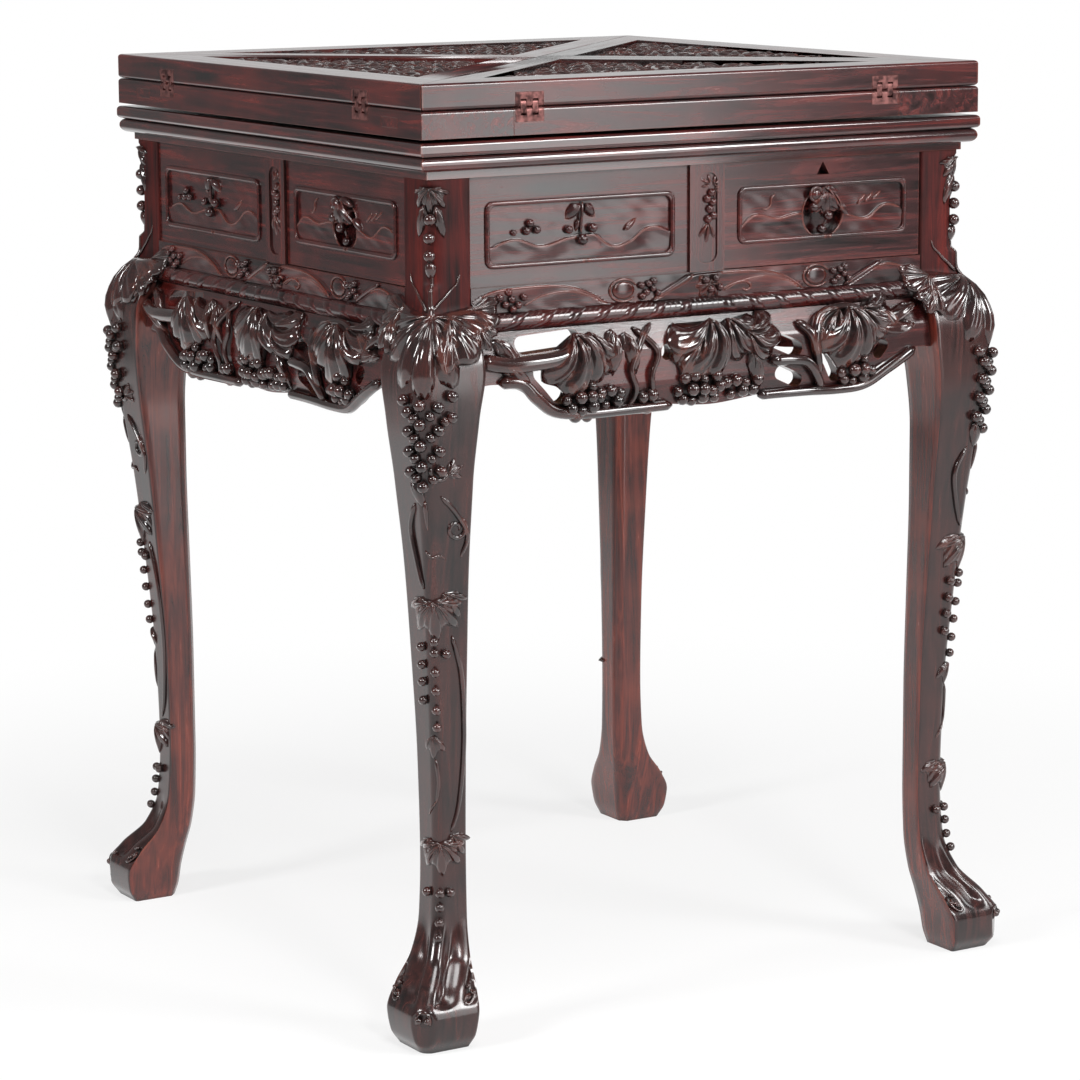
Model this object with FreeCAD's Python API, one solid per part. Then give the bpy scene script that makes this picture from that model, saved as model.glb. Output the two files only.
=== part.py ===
"""Carved hardwood card table with an envelope top.

Four triangular flaps fold out of a square board on link hinges, the board turns on a pivot over a
case with a drawer in every face, and the case stands on four cabriole legs. Origin at the middle of
the floor, +Z up, the front face looks along -Y. Every face of the table is the front face turned
about Z, so each side's pieces are made once for the front and then turned into place.
"""
import FreeCAD, Part
import math
import os

# Overall sizes
TOP_SIDE = 545.0
TABLE_HEIGHT = 776.0
TOP_OVERHANG = 11.5

# Heights of the layers, from the top down
FLAP_THICKNESS = 21.0
SEAM_GAP = 0.4
BOARD_THICKNESS = 22.0
TURNING_GAP = 2.5
CORNICE_HEIGHT = 29.5
BAY_HEIGHT = 88.0
RAIL_HEIGHT = 36.0
APRON_DEPTH = 73.0

# Flaps: frame rails, sunk panel and its tongue
FLAP_GAP = 0.6
EDGE_RAIL = 44.0
DIAGONAL_RAIL = 27.0
FLAP_PANEL_THICKNESS = 15.0
FLAP_TONGUE = 7.0
FLAP_TONGUE_THICKNESS = 6.0
TOP_ARRIS = 2.5

# Main leaves in relief on the sunk panels, in staggered rows
FLAP_LEAF_PITCH = 37.0
FLAP_LEAF_BASE_MARGIN = 19.0
FLAP_LEAF_SIDE_MARGIN = 16.0
FLAP_LEAF_REACH = 14.0
FLAP_LEAF_NOTCH = 0.58
FLAP_LEAF_TAPER = 0.75
FLAP_LEAF_RISE = 2.8
FLAP_LEAF_ROOT = 1.0
FLAP_LEAF_POINTS = 5
FLAP_LEAF_TURN = 47.0

# Turning board
BOARD_RAIL = 84.0
BOARD_PANEL_THICKNESS = 14.0
BOARD_TONGUE = 8.0
BOARD_TONGUE_THICKNESS = 6.0
BOARD_TENON_WIDTH = 26.0
BOARD_TENON_THICKNESS = 8.0
BOARD_TENON_INSET = 38.0
BATTEN_WIDTH = 90.0

# Link hinges: two on each side, each with two links between an upper and a lower leaf
HINGE_CORNER_INSET = 98.5
HINGE_PIVOT_INSET = 3.0
LEAF_WIDTH = 26.0
LEAF_HEIGHT = 11.5
LEAF_PLATE = 2.0
LEAF_BACK_WALL = 1.3
LINK_SPACING = 11.0
LINK_WIDTH = 5.0
LINK_END_RADIUS = 2.8
LINK_SIDE_CLEARANCE = 0.3
HINGE_PIN_RADIUS = 1.2
PIN_CLEARANCE = 0.05

# Central pivot
PIVOT_RADIUS = 10.0
PIVOT_CLEARANCE = 0.06
PIVOT_PLATE_RADIUS = 32.0
PIVOT_PLATE_THICKNESS = 4.0
PIVOT_DISC_RADIUS = 75.0
PIVOT_DISC_GAP = 0.1
PIVOT_NUT_RADIUS = 17.0
PIVOT_NUT_HEIGHT = 10.0
PIVOT_NUT_GAP = 0.3
PIVOT_THREAD_END = 3.0
BEARER_WIDTH = 100.0
BEARER_THICKNESS = 20.0
BEARER_DROP = 3.0
BEARER_HOUSING = 8.0

# Cornice: flat upper band, half-round moulding and fillet
CORNICE_BAND_HEIGHT = 11.0
CORNICE_BAND_REACH = 13.0
CORNICE_BAND_ARRIS = 3.5
CORNICE_ROUND_HEIGHT = 12.0
CORNICE_ROUND_SEAT = 6.0
CORNICE_ROUND_BULGE = 5.5
CORNICE_FILLET_REACH = 1.5
CORNICE_BACK = 26.0

# Case: posts, dividers, blind panels
POST_WIDTH = 39.0
DIVIDER_WIDTH = 34.0
DIVIDER_SHIFT = 3.0
DIVIDER_THICKNESS = 22.0
DIVIDER_FIELD_MARGIN = 7.0
DIVIDER_FIELD_DEPTH = 1.5
DIVIDER_FIELD_CORNER = 8.0
PANEL_THICKNESS = 16.0
PANEL_SETBACK = 2.5
BEAD_WIDTH = 4.0
BEAD_HEIGHT = 1.8
BEAD_ROUND = 0.9
BEAD_CORNER = 10.0
BEAD_SIDE_MARGIN = 14.0
BLIND_BEAD_LOW_MARGIN = 14.0
BLIND_BEAD_TOP_MARGIN = 20.0
DRAWER_BEAD_LOW_MARGIN = 19.0
DRAWER_BEAD_TOP_MARGIN = 20.0
FIELD_DEPTH = 1.5

# Drawers
DRAWER_CLEARANCE = 0.6
DRAWER_TAIL_GAP = 28.6
DRAWER_FRONT_THICKNESS = 18.0
DRAWER_SIDE_THICKNESS = 10.0
DRAWER_SIDE_HEIGHT = 72.0
DRAWER_BOTTOM_THICKNESS = 5.0
DRAWER_BOTTOM_RAISE = 6.0
DRAWER_GROOVE = 5.0
SCOOP_RADIUS = 20.0
SCOOP_DEPTH = 10.0
SCOOP_RISE = 3.0
PULL_THICKNESS = 5.0
PULL_LEAF_LENGTH = 12.0
PULL_LEAF_WIDTH = 5.5
PULL_LEAF_SPREAD = 36.0
NOTCH_WIDTH = 13.0
NOTCH_HEIGHT = 11.0
NOTCH_DROP = 3.0
NOTCH_DEPTH = 12.0

# Lower rail, dust board and runners
RAIL_THICKNESS = 24.0
RAIL_SETBACK = 1.0
ROPE_HEIGHT = 15.0
ROPE_BULGE = 6.5
RAIL_TENON_LENGTH = 16.0
RAIL_TENON_WIDTH = 20.0
RAIL_TENON_THICKNESS = 9.0
RAIL_TENON_DROP = 5.0
DUST_BOARD_THICKNESS = 8.0
DUST_BOARD_DROP = 4.0
DUST_BOARD_GROOVE = 6.0
RUNNER_WIDTH = 14.0
RUNNER_CLEARANCE = 0.2
GUIDE_WIDTH = 12.0
GUIDE_HEIGHT = 20.0
GUIDE_CLEARANCE = 0.5

# Apron: a bulging board with a wavy lower edge, pierced between the carved leaves
APRON_THICKNESS = 13.0
APRON_TOP_REACH = 2.0
APRON_BULGE_REACH = 13.0
APRON_BULGE_RISE = 24.0
APRON_BULGE_DROP = 22.0
APRON_FOOT_REACH = 8.0
APRON_SHOULDER = 31.0
APRON_SHOULDER_RUN = 40.0
APRON_DIP_RUN = 86.0
APRON_WAVE = 5.0

# Piercings of the apron: place along the face, height over the apron's lowest line, half length,
# half height, slant in degrees
APRON_PIERCINGS = (
    (-156.0, 63.0, 31.0, 7.0, 3.0),
    (-156.0, 30.0, 21.0, 8.0, -46.0),
    (-45.0, 47.0, 6.5, 5.5, 90.0),
    (-32.0, 60.5, 9.0, 5.5, 0.0),
    (45.0, 58.0, 8.0, 6.0, 50.0),
    (73.0, 45.0, 18.0, 7.0, -23.0),
    (77.0, 17.5, 15.0, 6.0, -24.0),
    (119.0, 24.0, 16.0, 5.5, -58.0),
    (171.0, 34.0, 9.0, 5.5, 48.0),
)

# Cabriole leg: height as a share of the leg under the post, reach of the outer corner beyond the
# post's corner, setback of the inner faces from the post's inner faces, radius of the outer corner
LEG_STATIONS = (
    (0.000, 26.0, 21.0, 10.0),
    (0.020, 34.0, 17.0, 14.0),
    (0.047, 36.0, 14.0, 14.0),
    (0.080, 27.0, 11.5, 13.0),
    (0.117, 12.0, 9.0, 11.0),
    (0.167, 0.5, 7.5, 9.0),
    (0.250, -3.5, 7.0, 8.0),
    (0.383, -2.0, 7.0, 8.0),
    (0.533, 3.5, 8.0, 8.0),
    (0.667, 10.0, 9.0, 8.0),
    (0.767, 17.0, 9.0, 9.0),
    (0.850, 22.5, 6.0, 11.0),
    (0.908, 24.0, 1.0, 12.0),
    (0.962, 14.0, 0.0, 9.0),
    (1.000, 0.0, 0.0, 4.0),
)
LEG_CHAMFER = 6.0
KNEE_DROP = 12.0
TOE_CUT_DEPTH = 14.0
TOE_CUT_HEIGHT = 34.0
TOE_CUT_RUNOUT = 6.0
POST_ROUND = 16.0
POST_ROUND_LOW_STOP = 18.0
POST_ROUND_TOP_STOP = 10.0

# Levels worked out from the layers
Z_SEAM = TABLE_HEIGHT - FLAP_THICKNESS
Z_BOARD_TOP = Z_SEAM - SEAM_GAP
Z_BOARD_BOTTOM = Z_BOARD_TOP - BOARD_THICKNESS
Z_CORNICE_TOP = Z_BOARD_BOTTOM - TURNING_GAP
Z_BAY_TOP = Z_CORNICE_TOP - CORNICE_HEIGHT
Z_RAIL_TOP = Z_BAY_TOP - BAY_HEIGHT
Z_APRON_TOP = Z_RAIL_TOP - RAIL_HEIGHT
Z_APRON_LOW = Z_APRON_TOP - APRON_DEPTH
Z_KNEE_TOP = Z_RAIL_TOP - KNEE_DROP
Z_DUST_TOP = Z_RAIL_TOP - DUST_BOARD_DROP
Z_BEARER_TOP = Z_CORNICE_TOP - BEARER_DROP
Z_BEARER_BOTTOM = Z_BEARER_TOP - BEARER_THICKNESS

# Half widths and other places worked out from the sizes above
TOP_HALF = TOP_SIDE / 2
CASE_HALF = TOP_HALF - TOP_OVERHANG
BAY_HALF = CASE_HALF - POST_WIDTH
BLIND_END = DIVIDER_SHIFT - DIVIDER_WIDTH / 2
DRAWER_START = DIVIDER_SHIFT + DIVIDER_WIDTH / 2
RAIL_BACK = CASE_HALF - RAIL_SETBACK - RAIL_THICKNESS
CORNICE_INNER = CASE_HALF - CORNICE_BACK
BOARD_OPENING = TOP_HALF - BOARD_RAIL
DRAWER_FACE = CASE_HALF - PANEL_SETBACK
DRAWER_LEFT = DRAWER_START + DRAWER_CLEARANCE
GUIDE_BACK = DRAWER_LEFT - GUIDE_CLEARANCE - GUIDE_WIDTH
DRAWER_DEPTH = DRAWER_FACE + GUIDE_BACK - DRAWER_TAIL_GAP
DRAWER_RIGHT = BAY_HALF - DRAWER_CLEARANCE
DRAWER_LOW = Z_RAIL_TOP + DRAWER_CLEARANCE
DRAWER_HIGH = Z_BAY_TOP - DRAWER_CLEARANCE
PIVOT_LIFT = HINGE_PIVOT_INSET + SEAM_GAP / 2
Z_SEAM_MIDDLE = Z_SEAM - SEAM_GAP / 2
HINGE_Y = -(TOP_HALF - HINGE_PIVOT_INSET)
HINGE_OFFSET = TOP_HALF - HINGE_CORNER_INSET
LEAF_BLOCK = 2 * HINGE_PIVOT_INSET + LEAF_BACK_WALL
LEAF_SLOT = 2 * HINGE_PIVOT_INSET + LINK_SIDE_CLEARANCE

SIDES = ("front", "right", "back", "left")
CORNERS = ("front_left", "front_right", "back_right", "back_left")
X_AXIS = FreeCAD.Vector(1, 0, 0)
Y_AXIS = FreeCAD.Vector(0, 1, 0)
Z_AXIS = FreeCAD.Vector(0, 0, 1)
ORIGIN = FreeCAD.Vector(0, 0, 0)


def box(x_span, y_span, z_span):
    """A box between the low and high values of each span."""
    low = FreeCAD.Vector(min(x_span), min(y_span), min(z_span))
    high = FreeCAD.Vector(max(x_span), max(y_span), max(z_span))
    size = high - low
    return Part.makeBox(size.x, size.y, size.z, low)


def prism(points, direction):
    """A closed polygon of points, extruded."""
    return Part.Face(Part.makePolygon(list(points) + [points[0]])).extrude(direction)


def plan_prism(corners, z_low, z_high):
    """A polygon in plan, standing between two levels."""
    points = [FreeCAD.Vector(x, y, z_low) for x, y in corners]
    return prism(points, FreeCAD.Vector(0, 0, z_high - z_low))


def turned(shape, quarter_turns):
    """A copy of a front-face shape, turned about the table's middle."""
    copy = shape.copy()
    copy.rotate(ORIGIN, Z_AXIS, 90.0 * quarter_turns)
    return copy


def rounded_rectangle(x_span, z_span, radius, y):
    """The wire of a rounded rectangle that stands in a plane across Y."""
    (x_low, x_high), (z_low, z_high) = x_span, z_span
    short = radius * (1 - math.cos(math.pi / 4))

    def at(x, z):
        return FreeCAD.Vector(x, y, z)

    sides = [
        (at(x_low + radius, z_low), at(x_high - radius, z_low)),
        (at(x_high, z_low + radius), at(x_high, z_high - radius)),
        (at(x_high - radius, z_high), at(x_low + radius, z_high)),
        (at(x_low, z_high - radius), at(x_low, z_low + radius)),
    ]
    corners = [
        at(x_high - short, z_low + short),
        at(x_high - short, z_high - short),
        at(x_low + short, z_high - short),
        at(x_low + short, z_low + short),
    ]
    edges = []
    for (start, end), corner, (following, _) in zip(sides, corners, sides[1:] + sides[:1]):
        if start.distanceToPoint(end) > 1e-6:
            edges.append(Part.makeLine(start, end))
        edges.append(Part.Arc(end, corner, following).toShape())
    return Part.Wire(edges)


def shrunk(span, amount):
    """A span with both ends moved in by an amount."""
    return span[0] + amount, span[1] - amount


def profile_bar(segments, x_span):
    """A moulding: a closed profile of edges in the plane x = 0, extruded along X."""
    face = Part.Face(Part.Wire([segment.toShape() for segment in segments]))
    face.translate(FreeCAD.Vector(x_span[0], 0, 0))
    return face.extrude(FreeCAD.Vector(x_span[1] - x_span[0], 0, 0))


def beaded_field(board, x_span, z_span, face_y):
    """A board whose face at face_y gets a sunk field with a rounded bead around it."""
    inner_x = shrunk(x_span, BEAD_WIDTH)
    inner_z = shrunk(z_span, BEAD_WIDTH)
    inner_corner = BEAD_CORNER - BEAD_WIDTH
    outer = Part.Face(rounded_rectangle(x_span, z_span, BEAD_CORNER, face_y))
    inner = Part.Face(rounded_rectangle(inner_x, inner_z, inner_corner, face_y))
    field = inner.extrude(Y_AXIS * FIELD_DEPTH)
    ring = outer.cut(inner).extrude(Y_AXIS * -BEAD_HEIGHT)
    crest = [
        edge for edge in ring.Edges
        if all(abs(vertex.Y - (face_y - BEAD_HEIGHT)) < 1e-6 for vertex in edge.Vertexes)
    ]
    return board.cut(field).fuse(ring.makeFillet(BEAD_ROUND, crest)).removeSplitter()


# Legs


def leg_section(height, reach, setback, corner_radius):
    """Wire across a leg at the front left corner: rounded outside, chamfered inside."""
    outer = CASE_HALF + reach
    inner = BAY_HALF + setback
    radius = corner_radius
    short = radius * (1 - math.cos(math.pi / 4))

    def at(x, y):
        return FreeCAD.Vector(x, y, height)

    outline = [
        at(-outer + radius, -outer),
        at(-inner, -outer),
        at(-inner, -inner - LEG_CHAMFER),
        at(-inner - LEG_CHAMFER, -inner),
        at(-outer, -inner),
        at(-outer, -outer + radius),
    ]
    edges = [Part.makeLine(start, end) for start, end in zip(outline, outline[1:])]
    edges.append(Part.Arc(outline[-1], at(-outer + short, -outer + short), outline[0]).toShape())
    return Part.Wire(edges)


def rail_tenon(end):
    """Tenon of the front lower rail at its left (-1) or right (+1) end."""
    high = Z_RAIL_TOP - RAIL_TENON_DROP
    back = -RAIL_BACK - (RAIL_THICKNESS - RAIL_TENON_THICKNESS) / 2
    return box(
        (end * BAY_HALF, end * (BAY_HALF + RAIL_TENON_LENGTH)),
        (back, back - RAIL_TENON_THICKNESS),
        (high - RAIL_TENON_WIDTH, high),
    )


def toe_cut():
    """Cutter for the flat facet across the toe's corner."""
    diagonal = math.sqrt(2)
    corner = max((CASE_HALF + reach - radius) * diagonal + radius for _, reach, _, radius in LEG_STATIONS)
    facet = corner - TOE_CUT_DEPTH
    beyond = corner + TOE_CUT_DEPTH
    run_out = TOE_CUT_HEIGHT + TOE_CUT_RUNOUT
    profile = [(facet, 0), (facet, TOE_CUT_HEIGHT), (corner, run_out), (beyond, run_out), (beyond, 0)]
    half = POST_WIDTH * diagonal
    cutter = prism([FreeCAD.Vector(-half, -out, z) for out, z in profile], X_AXIS * 2 * half)
    cutter.rotate(ORIGIN, Z_AXIS, -45)
    return cutter


def post_corner_cut():
    """Cutter that rounds the post's outer corner between two stops."""
    low, high = Z_KNEE_TOP + POST_ROUND_LOW_STOP, Z_BAY_TOP - POST_ROUND_TOP_STOP
    span = (-CASE_HALF, -CASE_HALF + POST_ROUND)
    centre = FreeCAD.Vector(span[1], span[1], low)
    return box(span, span, (low, high)).cut(Part.makeCylinder(POST_ROUND, high - low, centre, Z_AXIS))


def make_leg():
    """The front left leg: a cabriole leg with its corner post, mortised for two rails."""
    wires = [leg_section(share * Z_KNEE_TOP, *sizes) for share, *sizes in LEG_STATIONS]
    cabriole = Part.makeLoft(wires, True, False)
    post = Part.Face(wires[-1]).extrude(Z_AXIS * (Z_BAY_TOP - Z_KNEE_TOP))
    leg = cabriole.fuse(post).removeSplitter()
    return leg.cut([rail_tenon(-1), turned(rail_tenon(1), 3), toe_cut(), post_corner_cut()])


# Pieces of one face of the case


def make_lower_rail(legs):
    """Front lower rail: a flat carved band over a half-round rope moulding, tenoned at both ends."""
    face = -CASE_HALF + RAIL_SETBACK

    def at(y, z):
        return FreeCAD.Vector(0, y, z)

    rope_top = Z_APRON_TOP + ROPE_HEIGHT
    rope_middle = Z_APRON_TOP + ROPE_HEIGHT / 2
    segments = [
        Part.LineSegment(at(-RAIL_BACK, Z_RAIL_TOP), at(face, Z_RAIL_TOP)),
        Part.LineSegment(at(face, Z_RAIL_TOP), at(face, rope_top)),
        Part.Arc(at(face, rope_top), at(face - ROPE_BULGE, rope_middle), at(face, Z_APRON_TOP)),
        Part.LineSegment(at(face, Z_APRON_TOP), at(-RAIL_BACK, Z_APRON_TOP)),
        Part.LineSegment(at(-RAIL_BACK, Z_APRON_TOP), at(-RAIL_BACK, Z_RAIL_TOP)),
    ]
    bar = profile_bar(segments, (-BAY_HALF, BAY_HALF)).cut(legs)
    return bar.fuse([rail_tenon(-1), rail_tenon(1)]).cut(dust_board_blank())


def make_apron(legs):
    """Front apron: a bulging board with a wavy lower edge, pierced and let in between the legs."""
    profile = (
        (APRON_TOP_REACH, Z_APRON_TOP),
        (APRON_BULGE_REACH, Z_APRON_TOP - APRON_BULGE_DROP),
        (APRON_BULGE_REACH, Z_APRON_LOW + APRON_BULGE_RISE),
        (APRON_FOOT_REACH, Z_APRON_LOW),
    )
    face = [FreeCAD.Vector(0, -CASE_HALF - reach, z) for reach, z in profile]
    back = [point + Y_AXIS * APRON_THICKNESS for point in face]
    overlap = LEG_CHAMFER
    half = BAY_HALF + overlap
    board = prism(face + back[::-1], X_AXIS * 2 * half)
    board.translate(X_AXIS * -half)
    outline = apron_outline(half).extrude(Y_AXIS * 2 * CASE_HALF)
    holes = [piercing(*sizes) for sizes in APRON_PIERCINGS]
    return board.common(outline).cut(legs).cut(holes)


def apron_outline(half):
    """Face of the apron's outline as seen from the front, with its wavy lower edge."""
    y = -2 * CASE_HALF

    def at(x, z):
        return FreeCAD.Vector(x, y, z)

    shoulder = Z_APRON_LOW + APRON_SHOULDER
    shoulder_x = BAY_HALF - APRON_SHOULDER_RUN
    dip_x = BAY_HALF - APRON_DIP_RUN
    wave = Part.BSplineCurve()
    wave.interpolate([
        at(-half, shoulder),
        at(-shoulder_x, shoulder - APRON_WAVE),
        at(-dip_x, Z_APRON_LOW + APRON_WAVE / 2),
        at(-dip_x / 2, Z_APRON_LOW + APRON_WAVE),
        at(0, Z_APRON_LOW),
        at(dip_x / 2, Z_APRON_LOW + APRON_WAVE),
        at(dip_x, Z_APRON_LOW + APRON_WAVE / 2),
        at(shoulder_x, shoulder - APRON_WAVE),
        at(half, shoulder),
    ])
    top = Z_APRON_TOP
    edges = [
        wave.toShape(),
        Part.makeLine(at(half, shoulder), at(half, top)),
        Part.makeLine(at(half, top), at(-half, top)),
        Part.makeLine(at(-half, top), at(-half, shoulder)),
    ]
    return Part.Face(Part.Wire(edges))


def piercing(along, height, half_length, half_height, slant):
    """Slanted cutter with round ends through the front apron."""
    outline = rounded_rectangle((-half_length, half_length), (-half_height, half_height), half_height, 0)
    cutter = Part.Face(outline)
    cutter.rotate(ORIGIN, Y_AXIS, -slant)
    cutter.translate(FreeCAD.Vector(along, -CASE_HALF - 2 * APRON_THICKNESS, Z_APRON_LOW + height))
    return cutter.extrude(Y_AXIS * 4 * APRON_THICKNESS)


def make_cornice():
    """Front cornice rail: fillet, half-round and flat band, mitred at both ends."""
    seat = -CASE_HALF - CORNICE_ROUND_SEAT
    fillet = -CASE_HALF - CORNICE_FILLET_REACH
    band = -CASE_HALF - CORNICE_BAND_REACH
    z_band = Z_CORNICE_TOP - CORNICE_BAND_HEIGHT
    z_round = z_band - CORNICE_ROUND_HEIGHT

    def at(y, z):
        return FreeCAD.Vector(0, y, z)

    arris = CORNICE_BAND_ARRIS
    short = arris * (1 - math.cos(math.pi / 4))
    z_top = Z_CORNICE_TOP
    segments = [
        Part.LineSegment(at(-CORNICE_INNER, Z_BAY_TOP), at(fillet, Z_BAY_TOP)),
        Part.LineSegment(at(fillet, Z_BAY_TOP), at(fillet, z_round)),
        Part.LineSegment(at(fillet, z_round), at(seat, z_round)),
        Part.Arc(at(seat, z_round), at(seat - CORNICE_ROUND_BULGE, (z_round + z_band) / 2), at(seat, z_band)),
        Part.LineSegment(at(seat, z_band), at(band + arris, z_band)),
        Part.Arc(at(band + arris, z_band), at(band + short, z_band + short), at(band, z_band + arris)),
        Part.LineSegment(at(band, z_band + arris), at(band, z_top - arris)),
        Part.Arc(at(band, z_top - arris), at(band + short, z_top - short), at(band + arris, z_top)),
        Part.LineSegment(at(band + arris, z_top), at(-CORNICE_INNER, z_top)),
        Part.LineSegment(at(-CORNICE_INNER, z_top), at(-CORNICE_INNER, Z_BAY_TOP)),
    ]
    half = CASE_HALF + CORNICE_BAND_REACH
    mitre = plan_prism([(0, 0), (-half, -half), (half, -half)], Z_BAY_TOP, Z_CORNICE_TOP)
    return profile_bar(segments, (-half, half)).common(mitre)


def make_blind_panel():
    """Front blind panel: fills the left half of the bay."""
    face_y = -CASE_HALF + PANEL_SETBACK
    x_span = (-BAY_HALF, BLIND_END)
    board = box(x_span, (face_y, face_y + PANEL_THICKNESS), (Z_RAIL_TOP, Z_BAY_TOP))
    bead_x = shrunk(x_span, BEAD_SIDE_MARGIN)
    bead_z = (Z_RAIL_TOP + BLIND_BEAD_LOW_MARGIN, Z_BAY_TOP - BLIND_BEAD_TOP_MARGIN)
    return beaded_field(board, bead_x, bead_z, face_y)


def make_divider():
    """Front divider between the blind panel and the drawer, with a sunk field."""
    face_y = -CASE_HALF
    x_span = (BLIND_END, DRAWER_START)
    z_span = (Z_RAIL_TOP, Z_BAY_TOP)
    stile = box(x_span, (face_y, face_y + DIVIDER_THICKNESS), z_span)
    field_x = shrunk(x_span, DIVIDER_FIELD_MARGIN)
    field_z = shrunk(z_span, DIVIDER_FIELD_MARGIN)
    field = Part.Face(rounded_rectangle(field_x, field_z, DIVIDER_FIELD_CORNER, face_y))
    return stile.cut(field.extrude(Y_AXIS * DIVIDER_FIELD_DEPTH))


# Inside of the case


def dust_board_blank():
    """Square of the dust board, as wide as the grooves in the lower rails."""
    half = RAIL_BACK + DUST_BOARD_GROOVE
    return box((-half, half), (-half, half), (Z_DUST_TOP - DUST_BOARD_THICKNESS, Z_DUST_TOP))


def make_runners():
    """The two L-shaped runners of the front drawer: a strip under each side and a guide beside it."""
    front_y = -BAY_HALF
    back_y = -DRAWER_FACE + DRAWER_DEPTH
    strip_top = DRAWER_LOW - RUNNER_CLEARANCE
    runners = []
    for edge, outward in ((DRAWER_LEFT, -1), (DRAWER_RIGHT, 1)):
        guide_face = edge + outward * GUIDE_CLEARANCE
        guide_back = guide_face + outward * GUIDE_WIDTH
        strip_end = edge - outward * RUNNER_WIDTH
        strip = box((guide_back, strip_end), (front_y, back_y), (Z_DUST_TOP, strip_top))
        guide = box((guide_back, guide_face), (front_y, back_y), (Z_DUST_TOP, strip_top + GUIDE_HEIGHT))
        runners.append(strip.fuse(guide).removeSplitter())
    return runners


def make_bearer():
    """Pivot bearer: a wide rail across the case, housed in the left and right cornice rails."""
    half = CORNICE_INNER + BEARER_HOUSING
    span = (-BEARER_WIDTH / 2, BEARER_WIDTH / 2)
    return box((-half, half), span, (Z_BEARER_BOTTOM, Z_BEARER_TOP))


def pivot_cylinder(radius, z_low, z_high):
    """A cylinder on the pivot's axis."""
    return Part.makeCylinder(radius, z_high - z_low, FreeCAD.Vector(0, 0, z_low), Z_AXIS)


# Turning top


def hinge_centres():
    """Places of the two hinges along a side."""
    return -HINGE_OFFSET, HINGE_OFFSET


def hinge_pocket(centre, seam, upward):
    """Cutter for one front leaf: plate and knuckle block, over (1) or under (-1) the seam."""
    x_span = (centre - LEAF_WIDTH / 2, centre + LEAF_WIDTH / 2)
    plate = box(x_span, (-TOP_HALF, -TOP_HALF + LEAF_PLATE), (seam, seam + upward * LEAF_HEIGHT))
    block = box(x_span, (-TOP_HALF, -TOP_HALF + LEAF_BLOCK), (seam, seam + upward * LEAF_BLOCK))
    return plate.fuse(block).removeSplitter()


def hinge_leaf(centre, seam, upward, slab):
    """One front hinge leaf with its pin: trimmed to the slab's arris and slotted for two links."""
    leaf = hinge_pocket(centre, seam, upward).common(slab)
    for place in link_places(centre):
        half = LINK_WIDTH / 2 + LINK_SIDE_CLEARANCE
        slot = box(
            (place - half, place + half),
            (-TOP_HALF, -TOP_HALF + LEAF_SLOT),
            (seam, seam + upward * LEAF_SLOT),
        )
        leaf = leaf.cut(slot)
    pin_start = FreeCAD.Vector(centre - LEAF_WIDTH / 2, HINGE_Y, Z_SEAM_MIDDLE + upward * PIVOT_LIFT)
    pin = Part.makeCylinder(HINGE_PIN_RADIUS, LEAF_WIDTH, pin_start, X_AXIS)
    return leaf.fuse(pin).removeSplitter()


def link_places(centre):
    """Places of the two links of a hinge along a side."""
    return centre - LINK_SPACING / 2, centre + LINK_SPACING / 2


def hinge_link(place):
    """One front link: a short bar with round ends and a hole for each pin."""
    z_low = Z_SEAM_MIDDLE - PIVOT_LIFT
    z_high = Z_SEAM_MIDDLE + PIVOT_LIFT
    start = place - LINK_WIDTH / 2
    radius = LINK_END_RADIUS

    def at(y_offset, z):
        return FreeCAD.Vector(start, HINGE_Y + y_offset, z)

    edges = [
        Part.LineSegment(at(-radius, z_low), at(-radius, z_high)),
        Part.Arc(at(-radius, z_high), at(0, z_high + radius), at(radius, z_high)),
        Part.LineSegment(at(radius, z_high), at(radius, z_low)),
        Part.Arc(at(radius, z_low), at(0, z_low - radius), at(-radius, z_low)),
    ]
    outline = Part.Face(Part.Wire([edge.toShape() for edge in edges]))
    hole_radius = HINGE_PIN_RADIUS + PIN_CLEARANCE
    holes = [Part.makeCylinder(hole_radius, LINK_WIDTH, at(0, z), X_AXIS) for z in (z_low, z_high)]
    return outline.extrude(X_AXIS * LINK_WIDTH).cut(holes)


def slab_with_arris(z_low, z_high, seam, other_arris):
    """Square slab of the top, its seam edges rounded about the hinge pivots."""
    slab = box((-TOP_HALF, TOP_HALF), (-TOP_HALF, TOP_HALF), (z_low, z_high))

    def rim(z):
        return [
            edge for edge in slab.Edges
            if all(abs(vertex.Z - z) < 1e-6 for vertex in edge.Vertexes)
        ]

    other = z_low if seam == z_high else z_high
    seam_rim = rim(seam)
    other_rim = rim(other)
    rounded = slab.makeFillet(HINGE_PIVOT_INSET, seam_rim)
    if other_arris:
        kept = [
            edge for edge in rounded.Edges
            if any(edge.CenterOfMass.distanceToPoint(old.CenterOfMass) < 1e-6 for old in other_rim)
        ]
        rounded = rounded.makeFillet(other_arris, kept)
    return rounded


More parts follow.
